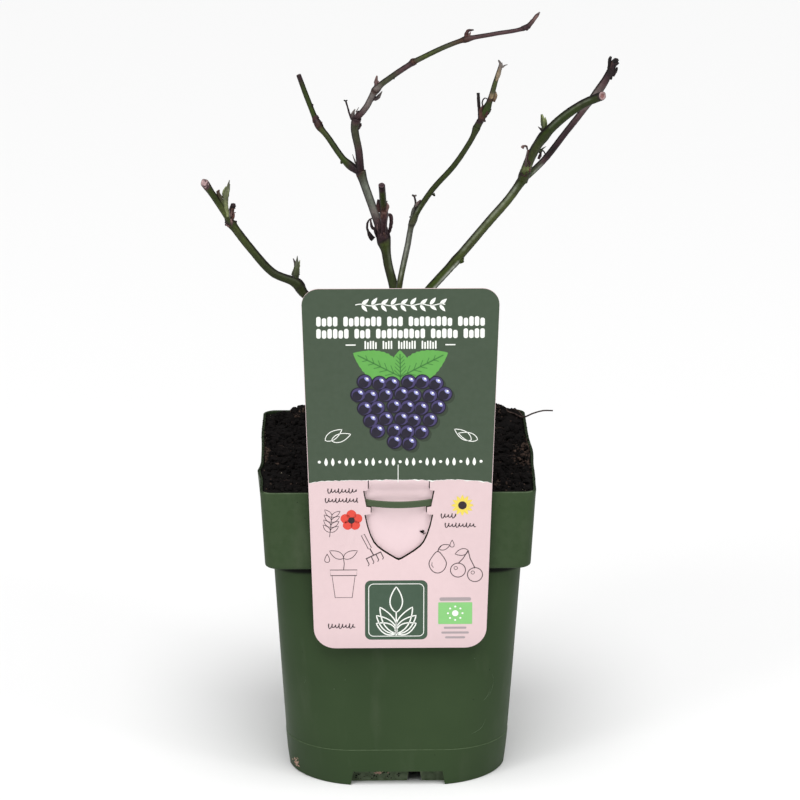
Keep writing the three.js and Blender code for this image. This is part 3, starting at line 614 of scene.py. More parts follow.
# Dry buds, leaf stalks and curled stipules
DRY_BITS = [
    # Stubby dry bud and knobs at the left cane's node
    ("cane_left_tip", 0.05, [
        ([(-0.2, 0.6, 1.1), (0.3, 4.2, 1.3), (0.8, 6.3, 1.05), (1.1, 7.5, 0.95)],
         "brown", "dark", 0, 0.8),
        ([(0.7, -1.8, 0.3), (0.5, -0.1, 0.5), (0.2, 1.7, 0.3)], "plum", "skin", 1.7),
        ([(-1.8, -0.6, 0.35), (-0.9, -1.5, 0.4), (0.4, -1.9, 0.2)], "skin", "rust", 1.3),
        ([(-1.6, 0.2, 0.7), (-1.9, 1.9, 0.6), (-1.9, 3.8, 0.2)], "dark", "grey_green"),
        ([(-1.4, -0.7, 1), (-0.9, 0.7, 1), (-1, 2, 0.4)], "plum", "deep_green", 0.6, 0.9),
        ([(0.9, 2.6, 0.4), (1.6, 4, 0.35), (2.2, 4.1, 0.12)], "skin", "rust", 0.6),
        ([(1, 4.4, 0.4), (1.5, 5.7, 0.35), (2.1, 5.9, 0.12)], "brown", "rust", 0.6),
        ([(0.2, 2.4, 0.3), (0.5, 4.4, 0.5), (0.8, 6, 0.2)], "skin", "brown", 1),
        ([(-0.5, 1.6, 0.5), (-0.6, 3.4, 0.55), (-0.3, 5.2, 0.15)], "bloom", "grey", 1.2),
        ([(0.6, 1, 0.5), (1.3, 2.4, 0.5), (1.6, 3.6, 0.2)], "brown", "rust", 0.8, 0.8),
        ([(1, 6.2, 1), (1.2, 7, 1.05), (1.3, 7.8, 0.6)], "dark", "plum", 0.2, 0.9),
    ]),
    ("cane_left_tip", 0.02, [
        ([(-1.6, -0.4, 0.8), (-2.6, -0.8, 0.35)], "dark", "plum"),
        ([(1.3, 0.2, 0.8), (2.2, 0.9, 0.4)], "plum", "dark"),
    ]),
    # Clump of dried stipules round the stub
    ("cane_middle", 0.55, [
        ([(-4.6, 8.2, 0.25), (-6, 7.2, 0.4), (-6.6, 4.3, 0.45), (-5.8, 1.9, 0.5), (-4.9, 0.2, 1),
         (-4.1, -0.6, 1.2)], "plum", "dark"),
        ([(-5.2, 7.9, 0.3), (-5, 6.2, 0.5), (-4.4, 4.4, 0.65), (-2.6, 3.6, 0.6)],
         "purple", "dark", 0.8),
        ([(1.5, 9.6, 0.6), (2.7, 9.8, 0.8), (3.2, 7.2, 0.75), (2.6, 3.6, 0.75), (1.9, 1.5, 0.5)],
         "purple", "plum", 0.6, 0.6),
        ([(-1.9, 7.6, 0.8), (-1.8, 5, 1.45), (-1, 2, 0.8)], "purple", "plum", 1.9, 0.8),
        # These two thin pale strips stand in front of the lumps as painted highlights
        ([(-2.4, 6.6, 0.12), (-2.5, 4.8, 0.25), (-2.1, 3.2, 0.12)], "skin", "purple", 3.1, 0.6),
        ([(-0.4, 6.2, 0.2), (0.1, 3, 0.4), (0.8, 0.9, 0.2)], "skin", "brown", 2.9, 0.6),
        ([(0, 7.4, 0.5), (0.9, 4.4, 0.9), (1.2, 2, 0.6)], "purple", "plum", 2, 0.7),
        ([(0.2, 2.6, 0.6), (0.8, 0.6, 1), (0.8, -0.8, 0.5)], "purple", "plum", 2.2, 0.8),
        ([(-1.1, 2.4, 0.5), (-0.8, 0.6, 0.8), (-0.4, -0.8, 0.4)], "purple", "plum", 2.3, 0.8),
        ([(-1.9, 1.4, 0.5), (-1.8, -0.6, 0.75), (-1.4, -2.2, 0.4)], "dark", "plum", 1, 0.8),
        ([(1.8, 1.6, 0.5), (1.8, -0.4, 0.6), (1.6, -2.4, 0.4)], "plum", "dark", 0.8, 0.8),
        ([(-2.4, 7.4, 0.6), (-0.7, 8.6, 0.65), (1.2, 9.3, 0.5)], "purple", "brown", 1.9, 0.7),
        ([(-3.2, 5.4, 0.4), (-3.3, 3, 0.6), (-2.8, 0.6, 0.3)], "plum", "dark", 1.2, 0.7),
    ]),
    ("stub_middle", 0.5, [
        ([(-1.5, 0.4, 0.8), (-2.1, 3.4, 1), (-2, 5.5, 0.6)], "rust", "plum", 0.2, 0.7),
        ([(-0.6, -2, 0.7), (0.6, 1.2, 1.15), (1.6, 2.8, 0.9), (1, 4.6, 0.35)], "brown", "skin", 1.3),
        ([(0.3, -4, 0.7), (0.2, -0.9, 0.9), (-0.4, 2.3, 0.4)], "plum", "rust", 1.4),
        ([(0.5, 4, 0.5), (1.5, 5, 0.2)], "deep_green", "grey_green", 0.4),
    ]),
    # Fork of the middle cane
    ("cane_middle_upper", 0.1, [
        ([(-1.2, -0.4, 0.45), (-2.3, 2.3, 0.3), (-3.1, 4.7, 0.12)], "dark", "grey"),
    ]),
    ("cane_middle", 0.975, [
        ([(-2, -0.6, 0.2), (-0.6, 0.7, 0.25), (1.1, 1.9, 0.15)], "rust", "brown", 1.3),
    ]),
    # Node where the arching shoot starts
    ("cane_middle_upper", 1, [
        ([(-2, -0.6, 0.55), (-3.1, 2.1, 0.4), (-3.8, 4.7, 0.36), (-4.5, 7.1, 0.34)],
         "plum", "dark", 0, 1),
        ([(-5.3, 7.3, 0.25), (-4.5, 7, 0.35), (-3.8, 7.3, 0.25)], "dark", "dark", 0, 1),
        ([(-1.7, -0.6, 0.85), (-1.6, 1.8, 0.8), (-0.7, 3.8, 0.15)], "plum", "grey", 0.4),
        ([(-0.6, 0, 0.8), (0.2, 2.9, 0.25)], "plum", "purple", 0.9),
        ([(-0.4, 2.6, 0.25), (0.3, 3.8, 0.2), (0.8, 4.6, 0.1)], "grey", "grey", 0.9),
        ([(0.2, 2.9, 0.3), (0.9, 3, 0.2), (1.7, 2.6, 0.25)], "dark", "dark", 0.9),
    ]),
    ("cane_middle_upper", 0.86, [
        ([(1, -1.6, 0.7), (1.8, -0.4, 0.8), (2.4, 0.7, 0.35)], "purple", "plum"),
    ]),
    # Buds along the arching shoot
    ("arch_lower", 0.45, [
        ([(-0.3, -0.4, 0.9), (-0.6, 2.7, 0.9), (-0.3, 4.9, 0.3)], "plum", "skin", 0.2, 0.8),
        ([(0.3, 0.2, 0.4), (0.5, 1.5, 0.4), (0.3, 3, 0.1)], "rust", "skin", 0.8),
    ]),
    ("arch_lower", 0.3, [
        ([(0.6, -0.4, 0.8), (2.6, 0.1, 0.9), (3.5, 1.3, 0.6), (4.5, 2.9, 0.12)],
         "plum", "grey", 0, 0.7),
    ]),
    ("arch_lower", 0.7, [
        ([(-0.4, -0.6, 0.8), (0.2, -1.7, 0.25)], "grey_green", "grey_green"),
    ]),
    ("arch_outer", 0, [
        ([(-1.9, -0.4, 0.5), (-0.9, 0.7, 0.6), (0.2, 1, 0.3)], "plum", "rust"),
        ([(0, 0.4, 0.5), (1.2, 0.9, 0.45), (2, 0.5, 0.2)], "rust", "grey_green", 0.3),
    ]),
    ("arch_outer", 0.45, [
        ([(-0.5, -0.2, 1.1), (-0.6, 2.1, 1), (-0.1, 3.2, 0.75), (0.9, 3.4, 0.5), (2.2, 3.5, 0.25)],
         "rust", "plum", 0, 0.7),
        ([(0, 0.2, 0.4), (0.5, 1.8, 0.5), (0.9, 2.9, 0.15)], "rust", "skin", 0.7),
    ]),
    ("arch_outer", 0.85, [
        ([(1.6, 0.2, 0.7), (3.7, 2.9, 0.75), (6.7, 5.7, 0.1)], "plum", "skin", 0.2),
        ([(1.5, -0.3, 0.6), (3, 0.9, 0.5), (3.9, 2.3, 0.12)], "plum", "brown", 0.5),
    ]),
    # Bud on the left branch of the middle cane
    ("branch_middle_left", 0.6, [
        ([(1, 1.7, 0.8), (-0.5, 0.8, 1.1), (-0.8, -1, 0.5)], "plum", "rust", 0.5, 0.7),
        ([(1.2, 0, 0.9), (0.4, -2.4, 0.85), (0.8, -4, 0.2)], "rust", "straw", 0.6, 0.7),
        ([(1.9, -0.4, 0.6), (2.1, -2.2, 0.5), (2.6, -3.4, 0.2)], "brown", "plum", 0.9),
    ]),
    ("branch_middle_left", 0.7, [
        ([(0.1, 1.2, 0.6), (0.6, 2.2, 0.3)], "plum", "dark", 0.3),
    ]),
    ("branch_middle_left", 0.2, [
        ([(-0.4, -0.6, 1), (-1.1, -1.8, 0.4)], "grass_green", "moss_green"),
    ]),
    # Leaf stalk on the front cane
    ("cane_front", 0.5, [
        ([(-0.6, 0.6, 0.6), (0, 3.9, 0.8), (1, 6.7, 0.7), (0.9, 8.6, 0.42), (0.5, 10.3, 0.4)],
         "bloom", "plum", 0.6, 0.7),
        ([(-0.4, 10.8, 0.35), (0.5, 10.4, 0.5), (1.4, 10.7, 0.3)], "dark", "grey", 0.6, 0.8),
        ([(0.8, 6, 0.6), (2, 7.5, 0.75), (3.1, 8.8, 0.2)], "grey", "skin", 0.7),
        ([(-0.5, 0.6, 0.5), (-1.4, 1.8, 0.2)], "plum", "dark"),
    ]),
    ("cane_front", 0.65, [
        ([(1, -0.8, 0.7), (1.8, -1.7, 0.25)], "deep_green", "dark"),
    ]),
    # Cut leaf stalk, scales and frayed tip of the front cane
    ("cane_front_tip", 0.05, [
        ([(0.5, 0.6, 0.7), (0.4, 4, 0.66), (0.1, 8, 0.62), (-0.2, 12.6, 0.68)], "plum", "dark", 0.4, 1),
    ]),
    ("cane_front_tip", 0.2, [
        ([(-0.6, -1, 0.9), (0.8, -2.6, 0.35)], "rust", "plum", 0.4),
        ([(0.4, 0, 0.9), (2.2, 1.6, 0.75), (3, 2.6, 0.2)], "plum", "brown", 0.5),
        ([(-0.8, -1.4, 0.7), (-1, 2.2, 0.85), (-0.2, 4.4, 0.2)], "brown", "rust", 1),
        ([(0.2, -0.6, 1.1), (1.2, 3.2, 1.2), (2, 5.9, 0.5)], "deep_green", "grass_green", 0.7),
        ([(0.9, -0.2, 0.4), (1.4, 1.8, 0.5), (1.2, 3.4, 0.15)], "rust", "plum", 1.9),
        ([(-0.1, 3, 0.3), (-0.5, 5.6, 0.28), (0.5, 7, 0.26), (1.7, 6.5, 0.18)], "dark", "dark", 0.6, 1),
    ]),
    ("cane_front_tip", 0.5, [
        ([(1, -1.9, 0.5), (1.6, 0.4, 0.9), (1, 3.1, 0.35)], "brown", "straw", 0.4),
        ([(0.2, -0.6, 0.4), (0.4, 1.6, 0.7), (0.3, 4, 0.3)], "straw", "straw", 1),
    ]),
    ("cane_front_tip", 0.9, [
        ([(-0.9, -3.6, 0.4), (0.2, -0.6, 0.7), (0.9, 1.6, 0.4)], "straw", "grey", 0.5),
    ]),
    ("cane_front_tip", 1, [
        ([(0.4, -0.9, 0.6), (-0.3, 1, 0.5), (-0.9, 2.2, 0.25)], "grey", "grey", 0.2),
        ([(0.4, -0.8, 0.5), (1.6, 0, 0.3), (2.7, 0.3, 0.1)], "grey", "grey", 0.2),
    ]),
    # Bump on the right cane, then the scales round its fork
    ("cane_right", 0.5, [
        ([(-0.2, -0.4, 1.1), (0.5, -1.7, 1.5), (0.9, -2.9, 0.9)], "moss_green", "grass_green", 0, 0.9),
    ]),
    ("branch_right_green", 0.05, [
        ([(-0.9, 0.6, 0.6), (-1.9, 1.6, 0.12)], "plum", "dark"),
        ([(-1.8, 0.9, 0.25), (-0.8, 0, 0.5), (0.8, -0.6, 0.3)], "dark", "brown", 2.2),
        ([(-0.6, 0.2, 0.4), (0.6, 1, 0.8), (1.7, 1.7, 0.4)], "grass_green", "moss_green", 2.3),
        ([(0.4, 0.4, 0.25), (0.7, 1.6, 0.12)], "rust", "plum", 3),
    ]),
    ("branch_right_green", 0.15, [
        ([(0.3, -1, 0.3), (0.3, 2.2, 0.95), (0.1, 6, 0.3)], "plum", "rust", 2.3),
        ([(-1, -1, 0.6), (-0.7, 3.1, 0.6), (-0.4, 5.9, 0.2)], "purple", "grey", 1.9),
        ([(-0.5, 5.7, 0.3), (-0.9, 7.1, 0.4), (-2, 7.1, 0.5), (-2.6, 6.3, 0.7)], "dark", "skin", 1.2),
        ([(0.5, -3, 0.4), (0.6, -1.2, 0.15)], "rust", "rust", 2.5),
    ]),
    ("branch_right_green", 0.25, [
        ([(2.2, -2.6, 0.5), (3, -0.6, 0.65), (3.3, 0.6, 0.35), (4.1, 0.7, 0.26), (5, -0.8, 0.26)],
         "plum", "dark"),
    ]),
    ("branch_right_green", 0.42, [
        ([(-0.4, 2.2, 0.7), (-2.3, 4, 0.12)], "plum", "dark", 0.2),
    ]),
    # Ragged black tip of the brown branch
    ("branch_right_brown", 0.95, [
        ([(-0.9, -3, 0.9), (-0.8, 1, 0.8), (-0.7, 3.6, 0.75), (-0.2, 5, 0.55)],
         "dark", "dark", 0.4, 0.8),
        ([(-1, -4, 1.2), (0.2, 0, 1.2), (0.5, 2.4, 0.7)], "dark", "plum", 0.8, 0.8),
        ([(0.3, -1.6, 0.8), (1.3, 1.4, 0.75), (2.1, 4.2, 0.7)], "dark", "dark", 0.3, 0.8),
        ([(0.8, 1.6, 0.5), (2, 1.9, 0.6), (2.9, 2.6, 0.4)], "plum", "dark", 0.6, 0.8),
        ([(0.8, -0.6, 0.5), (1.9, -0.3, 0.55), (2.4, -0.6, 0.3)], "dark", "dark", 0.5, 0.8),
        ([(-1.4, -3.8, 0.8), (0, -3, 0.7), (1.1, -2.2, 0.12)], "dark", "dark", 0.2),
        ([(-2.6, -6.2, 0.8), (-1.4, -5.2, 0.15)], "plum", "dark"),
        ([(0.6, -3, 0.7), (1.7, -1, 0.8), (2.4, 0.6, 0.3)], "plum", "dark", 0.2, 0.8),
        ([(-0.4, 0.2, 0.2), (0, 2.2, 0.3), (0.3, 3.4, 0.1)], "plum", "brown", 1.9),
    ]),
]


# Colour helpers
def linear(red, green, blue):
    def channel(value):
        share = value / 255
        return share / 12.92 if share <= 0.04045 else ((share + 0.055) / 1.055) ** 2.4
    return (channel(red), channel(green), channel(blue), 1.0)


def mix(first, second, share):
    share = min(max(share, 0), 1)
    return tuple(a + (b - a) * share for a, b in zip(first, second))


TINTS = {name: linear(*values) for name, values in PALETTE.items()}


def gradient(stops, share):
    for (low, first), (high, second) in zip(stops, stops[1:]):
        if share <= high:
            return mix(TINTS[first], TINTS[second], (share - low) / (high - low))
    return TINTS[stops[-1][1]]


# Meshes
class Heap:
    """Points, faces and point colours gathered for one piece."""

    def __init__(self):
        self.points = []
        self.faces = []
        self.colours = []

    def add(self, points, faces, colours):
        start = len(self.points)
        self.points.extend(points)
        self.faces.extend(tuple(start + corner for corner in face) for face in faces)
        self.colours.extend(colours)

    def make(self, name, material, slot, smooth=False):
        make_piece(name, self.points, self.faces, material, self.colours, smooth)


def link(thing):
    bpy.context.scene.collection.objects.link(thing)
    return thing


def loose_object(name, points, faces):
    mesh = bpy.data.meshes.new(name)
    mesh.from_pydata([Vector(point) * MM for point in points], [], faces)
    mesh.update()
    return link(bpy.data.objects.new(name, mesh))


def make_piece(name, points, faces, material, colours=None, smooth=True, replaces=()):
    piece = loose_object(name, points, faces)
    mesh = piece.data
    if smooth:
        mesh.shade_smooth()
    else:
        mesh.shade_flat()
    if colours:
        layer = mesh.color_attributes.new("Tint", "FLOAT_COLOR", "POINT")
        for item, colour in zip(layer.data, colours):
            item.color = colour
    mesh.materials.append(material)
    finish_piece(piece, replaces)
    return piece


def finish_piece(piece, replaces=()):
    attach(piece, "root")
    if replaces:
        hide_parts(*replaces)


def cut(piece, tool):
    modifier = piece.modifiers.new("cut", "BOOLEAN")
    modifier.operation = "DIFFERENCE"
    modifier.solver = "EXACT"
    modifier.object = tool
    graph = bpy.context.evaluated_depsgraph_get()
    result = bpy.data.meshes.new_from_object(piece.evaluated_get(graph))
    piece.modifiers.clear()
    before = piece.data
    piece.data = result
    bpy.data.meshes.remove(before)
    bpy.data.objects.remove(tool)


def quarter_turns(count):
    return Matrix.Rotation(math.radians(90 * count), 3, "Z")


def grid_cells(width, rows):
    """Corners of each cell in a grid of points that lie row after row."""
    for row in range(rows - 1):
        for corner in range(row * width, (row + 1) * width - 1):
            yield corner, corner + 1, corner + width + 1, corner + width


def grid_border(width, rows):
    """The points round a grid, along its first row and then on in the same sense."""
    last = (rows - 1) * width
    return [
        *range(width), *range(2 * width - 1, last + width, width),
        *range(last + width - 2, last - 1, -1), *range(last - width, 0, -width),
    ]


def loft_faces(rings, count, closed_ends=True):
    faces = []
    for ring in range(rings - 1):
        for side in range(count):
            after = (side + 1) % count
            low = ring * count
            faces.append((low + side, low + after, low + count + after, low + count + side))
    if closed_ends:
        faces.append(tuple(reversed(range(count))))
        faces.append(tuple(range((rings - 1) * count, rings * count)))
    return faces


# Materials: each is made of nodes, with noise that mottles its colour and roughens its face
def new_material(name, colour, roughness, specular):
    material = bpy.data.materials.new(name)
    material.use_nodes = True
    shader = material.node_tree.nodes["Principled BSDF"]
    shader.inputs["Base Color"].default_value = colour
    shader.inputs["Roughness"].default_value = roughness
    shader.inputs["Specular IOR Level"].default_value = specular
    return material, shader


def add_node(material, kind, **values):
    node = material.node_tree.nodes.new(kind)
    for name, value in values.items():
        node.inputs[name.replace("_", " ")].default_value = value
    return node


def add_noise(material, scale, detail, stretch=(1, 1, 1)):
    tree = material.node_tree
    place = add_node(material, "ShaderNodeTexCoord")
    turn = add_node(material, "ShaderNodeMapping", Scale=stretch)
    pattern = add_node(material, "ShaderNodeTexNoise", Scale=scale, Detail=detail)
    tree.links.new(place.outputs["Object"], turn.inputs["Vector"])
    tree.links.new(turn.outputs["Vector"], pattern.inputs["Vector"])
    return pattern.outputs["Fac"]


def add_blotches(material, pattern, first, last, stretch=(1, 1, 1)):
    """A noise pattern that runs from the first colour to the last one."""
    scale, detail, *places = pattern
    source = add_noise(material, scale, detail, stretch)
    ramp = add_node(material, "ShaderNodeValToRGB")
    for element, place, colour in zip(ramp.color_ramp.elements, places, (first, last)):
        element.position = place
        element.color = colour
    material.node_tree.links.new(source, ramp.inputs["Fac"])
    return ramp.outputs["Color"]


def add_layer(material, name):
    layer = material.node_tree.nodes.new("ShaderNodeVertexColor")
    layer.layer_name = name
    return layer.outputs["Color"]


def add_mix(material, share, first, second, blend="MIX"):
    tree = material.node_tree
    node = tree.nodes.new("ShaderNodeMix")
    node.data_type = "RGBA"
    node.blend_type = blend
    for socket, value in (("Factor", share), ("A", first), ("B", second)):
        target = next(item for item in node.inputs if item.name == socket and item.enabled)
        if isinstance(value, (int, float, tuple)):
            target.default_value = value
        else:
            tree.links.new(value, target)
    return next(item for item in node.outputs if item.enabled)


def add_bump(material, shader, scale, detail, strength, depth):
    source = add_noise(material, scale, detail)
    bump = add_node(material, "ShaderNodeBump", Strength=strength, Distance=depth)
    links = material.node_tree.links
    links.new(source, bump.inputs["Height"])
    previous = shader.inputs["Normal"].links
    if previous:
        links.new(previous[0].from_socket, bump.inputs["Normal"])
    links.new(bump.outputs["Normal"], shader.inputs["Normal"])


def grey(value):
    return (value, value, value, 1.0)


def pot_plastic(name, shades, lit_and_soiled=False):
    """Moss-green plastic between two shades. When asked, a colour layer of the mesh marks painted light
    and soil on it: red for painted light on the lip, collar and niches, green for the crease's painted
    highlight, and blue for soil on the side rims, darkened walls inside and painted shade under the
    collar."""
    low, high = (linear(*shade) for shade in shades)
    material, shader = new_material(name, low, PLAIN_ROUGHNESS, PLASTIC_SPECULAR)
    links = material.node_tree.links
    cloud = add_blotches(material, CLOUD, low, high)
    dusty = add_blotches(material, DUSTY, grey(0), grey(0.4), (1, 1, 0.25))
    dulled = add_mix(material, dusty, cloud, linear(*DUST))
    specks = add_blotches(material, SPECKLED, grey(0), grey(0.5))
    finish = add_mix(material, specks, dulled, linear(*SPECKS))
    if lit_and_soiled:
        parts = material.node_tree.nodes.new("ShaderNodeSeparateColor")
        links.new(add_layer(material, "LightAndSoil"), parts.inputs["Color"])
        light_mottle = add_blotches(material, LIGHT_MOTTLE, grey(0.25), grey(1))
        # Red gives painted light on the lip, collar and niches, green a painted highlight on the crease
        for channel, colour in (("Red", PALE_PAINTED_LIGHT), ("Green", CREASE_HIGHLIGHT)):
            place = add_mix(material, 1.0, parts.outputs[channel], light_mottle, "MULTIPLY")
            finish = add_mix(material, place, finish, linear(*colour))
        # Blue darkens: soil on the side rims, darkened walls inside, painted shade under the collar
        finish = add_mix(material, parts.outputs["Blue"], finish, linear(*DARK_SOIL_AND_SHADE))
    links.new(finish, shader.inputs["Base Color"])
    sheen = add_blotches(material, SHEEN, grey(0.4), grey(0.58), (1, 1, 0.3))
    links.new(sheen, shader.inputs["Roughness"])
    add_bump(material, shader, *WALL_BUMP)
    add_bump(material, shader, *PLASTIC_BUMP)
    return material


def soil_matter(name, roughness=0.95):
    dark, light = (linear(*shade) for shade in MATTER[name])
    material, shader = new_material(name, dark, roughness, SOIL_SPECULAR)
    grain = add_blotches(material, SOIL_GRAIN, dark, light)
    material.node_tree.links.new(grain, shader.inputs["Base Color"])
    add_bump(material, shader, *SOIL_BUMP)
    return material


def tinted(name):
    """Material whose base colour is the mesh's own Tint, mottled by noise."""
    roughness, wrinkle, blotch, specular = FINISHES[name]
    material, shader = new_material(name, grey(0.2), roughness, specular)
    colour = add_layer(material, "Tint")
    for pattern, strength in ((FINE_MOTTLE, blotch), (BROAD_MOTTLE, blotch / 2)):
        mottle = add_blotches(material, pattern, grey(1 - strength), grey(1 + strength))
        colour = add_mix(material, 1.0, colour, mottle, "MULTIPLY")
    material.node_tree.links.new(colour, shader.inputs["Base Color"])
    add_bump(material, shader, *WRINKLES, wrinkle, WRINKLE_DEPTH)
    return material


def ink(name, values, roughness=PLAIN_ROUGHNESS):
    colour = linear(*values)
    material, shader = new_material(name, colour, roughness, INK_SPECULAR)
    printed = add_blotches(material, INK_MOTTLE, mix(colour, grey(0), 0.02), mix(colour, grey(1), 0.006))
    material.node_tree.links.new(printed, shader.inputs["Base Color"])
    add_bump(material, shader, *INK_BUMP)
    return material


# Stage
def make_stage():
    corners = [(x * FLOOR_REACH, y * FLOOR_REACH, 0) for x, y in ((-1, -1), (1, -1), (1, 1), (-1, 1))]
    floor = loose_object("floor", corners, [(0, 1, 2, 3)])
    material, _ = new_material("pale floor", grey(FLOOR_SHADE), FLOOR_ROUGHNESS, FLOOR_SPECULAR)
    floor.data.materials.append(material)

    world = bpy.data.worlds.new("studio")
    world.use_nodes = True
    background = world.node_tree.nodes["Background"]
    background.inputs["Color"].default_value = grey(1)
    background.inputs["Strength"].default_value = WORLD_STRENGTH
    bpy.context.scene.world = world
    bpy.context.scene.view_settings.view_transform = "Standard"

    overhead = bpy.data.lights.new("overhead light", "SUN")
    overhead.energy = OVERHEAD_STRENGTH
    overhead.angle = math.radians(OVERHEAD_SPREAD)
    holder = link(bpy.data.objects.new("overhead light", overhead))
    holder.rotation_euler = (math.radians(OVERHEAD_TILT), 0, 0)
    for name, (place, size, power) in SOFTBOXES.items():
        add_softbox(name, place, size, power)


def add_softbox(name, place, size, power):
    lamp = bpy.data.lights.new(name, "AREA")
    lamp.shape = "SQUARE"
    lamp.size = size
    lamp.energy = power
    holder = link(bpy.data.objects.new(name, lamp))
    holder.location = place
    holder.rotation_euler = (CAMERA_TARGET - Vector(place)).to_track_quat("-Z", "Y").to_euler()


def make_camera():
    azimuth = math.radians(CAMERA_AZIMUTH)
    elevation = math.radians(CAMERA_ELEVATION)
    back = Vector((
        math.sin(azimuth) * math.cos(elevation),
        -math.cos(azimuth) * math.cos(elevation),
        math.sin(elevation),
    ))
    lens = bpy.data.cameras.new("camera")
    lens.sensor_width = CAMERA_SENSOR
    lens.lens = CAMERA_LENS
    camera = link(bpy.data.objects.new("camera", lens))
    camera.location = CAMERA_TARGET + back * CAMERA_DISTANCE
    camera.rotation_euler = (-back).to_track_quat("-Z", "Y").to_euler()
    bpy.context.scene.camera = camera


# Pot
def square_ring(z, width, radius):
    reach = width / 2 - radius
    points = []
    for corner in range(4):
        turn = quarter_turns(corner)
        for step in range(CORNER_STEPS + 1):
            angle = math.radians(90 * step / CORNER_STEPS)
            x = reach + radius * math.cos(angle)
            y = reach + radius * math.sin(angle)
            points.append(turn @ Vector((x, y, z)))
        for step in range(1, SIDE_STEPS):
            x = reach - 2 * reach * step / SIDE_STEPS
            points.append(turn @ Vector((x, width / 2, z)))
    return [bulged(point) for point in points]


def smoothstep(low, high, value):
    share = min(max((value - low) / (high - low), 0), 1)
    return share * share * (3 - 2 * share)


def bulged(point):
    """The collar's side walls are soft, and the soil pushes them out in places."""
    climb = smoothstep(COLLAR_FOOT, POT_HEIGHT, point.z)
    if climb == 0:
        return point
    dip = rim_drop(point.y) * smoothstep(RIM_DIP_FOOT, POT_HEIGHT, point.z)
    side = math.copysign(1, point.x)
    outward = smoothstep(BULGE_FROM, BULGE_FULL, abs(point.x))
    push = sum(
        bulge["push"] * math.exp(-((point.y - bulge["y"]) / bulge["reach"]) ** 2)
        for bulge in RIM_BULGES if bulge["side"] == side
    )
    return point + Vector((side * push * climb * outward, 0, -dip))


def edge_angles():
    return [math.radians(90 * step / EDGE_STEPS) for step in range(EDGE_STEPS + 1)]


def lower_edge(z, width, radius, edge):
    return [
        (z + edge * (1 - math.cos(a)), width - 2 * edge * (1 - math.sin(a)), radius)
        for a in edge_angles()
    ]


def upper_edge(z, width, radius, edge, side=-1):
    return [
        (z - edge * (1 - math.sin(a)), width + 2 * side * edge * (1 - math.cos(a)), radius)
        for a in edge_angles()
    ]


def stretch(first, last, steps):
    return [tuple(a + (b - a) * step / steps for a, b in zip(first, last)) for step in range(1, steps)]


def body_stations(inset):
    middle = (
        (BAND_HEIGHT + COLLAR_FOOT) / 2,
        (BAND_WIDTH + BODY_TOP_WIDTH) / 2 - 2 * inset,
        (BAND_RADIUS + BODY_TOP_RADIUS) / 2 - inset,
    )
    band = (BAND_HEIGHT + BAND_STEP, BAND_WIDTH - 2 * BAND_STEP - 2 * inset, BAND_RADIUS - inset)
    top = (COLLAR_FOOT, BODY_TOP_WIDTH - 2 * inset, BODY_TOP_RADIUS - inset)
    upper = [*stretch(middle, top, WALL_STEPS), *groove_stations(middle, top), top]
    return [band, *stretch(band, middle, WALL_STEPS), middle, *upper]


def groove_stations(middle, top):
    """Close stations just below the collar, where the painted shade under it fades out."""
    shares = [1 - GROOVE_HEIGHT * part / (top[0] - middle[0]) for part in GROOVE_PARTS]
    return [mix(middle, top, share) for share in shares]


def outer_profile():
    band = (BAND_HEIGHT, BAND_WIDTH, BAND_RADIUS)
    foot = lower_edge(0, FOOT_WIDTH, FOOT_RADIUS, FOOT_EDGE)
    collar_foot = lower_edge(COLLAR_FOOT, COLLAR_FOOT_WIDTH, COLLAR_RADIUS, COLLAR_EDGE)
    lip = upper_edge(POT_HEIGHT, RIM_WIDTH, COLLAR_RADIUS, LIP_EDGE)
    return [
        *foot, *stretch(foot[-1], band, WALL_STEPS // 2), band,
        *body_stations(0),
        *collar_foot, *stretch(collar_foot[-1], lip[0], WALL_STEPS), *lip,
    ]


def inner_profile(inset):
    bottom = (FLOOR, FOOT_WIDTH - 2 * inset - FLOOR_TAPER, FOOT_RADIUS - inset)
    collar = (COLLAR_FOOT + inset, COLLAR_FOOT_WIDTH - 2 * inset, COLLAR_RADIUS - inset)
    lip = upper_edge(POT_HEIGHT, RIM_WIDTH - 2 * inset, COLLAR_RADIUS - inset, LIP_EDGE, 1)
    above = (POT_HEIGHT + CUT_OVERRUN, lip[-1][1], lip[-1][2])
    return [bottom, *body_stations(inset), collar, *stretch(collar, lip[0], WALL_STEPS), *lip, above]


def square_loft(name, profile):
    rings = [square_ring(*station) for station in profile]
    points = [point for ring in rings for point in ring]
    return loose_object(name, points, loft_faces(len(rings), len(rings[0])))


def band_cuts(name, x, foot_width, top_width, height, front, back):
    """One wedge-shaped cut in the foot band, repeated on all four sides."""
    heap = Heap()
    section = [
        (x - foot_width / 2, -CUT_OVERRUN), (x + foot_width / 2, -CUT_OVERRUN),
        (x + top_width / 2, height), (x - top_width / 2, height),
    ]
    for side in range(4):
        turn = quarter_turns(side)
        near = [turn @ Vector((u, front, z)) for u, z in section]
        far = [turn @ Vector((u, back, z)) for u, z in section]
        heap.add([*far, *near], loft_faces(2, len(section)), [])
    return loose_object(name, heap.points, heap.faces)


def niche_cuts(margin):
    return band_cuts(
        "niches", 0, NICHE_FOOT_WIDTH + 2 * margin, NICHE_TOP_WIDTH + 2 * margin,
        NICHE_HEIGHT + margin, -FOOT_WIDTH, NICHE_BACK + margin,
    )


def drain_cuts():
    return band_cuts(
        "drains", SLOT_OFFSET, SLOT_FOOT_WIDTH, SLOT_TOP_WIDTH, SLOT_HEIGHT,
        NICHE_BACK - CUT_OVERRUN, NICHE_BACK + SLOT_LENGTH,
    )


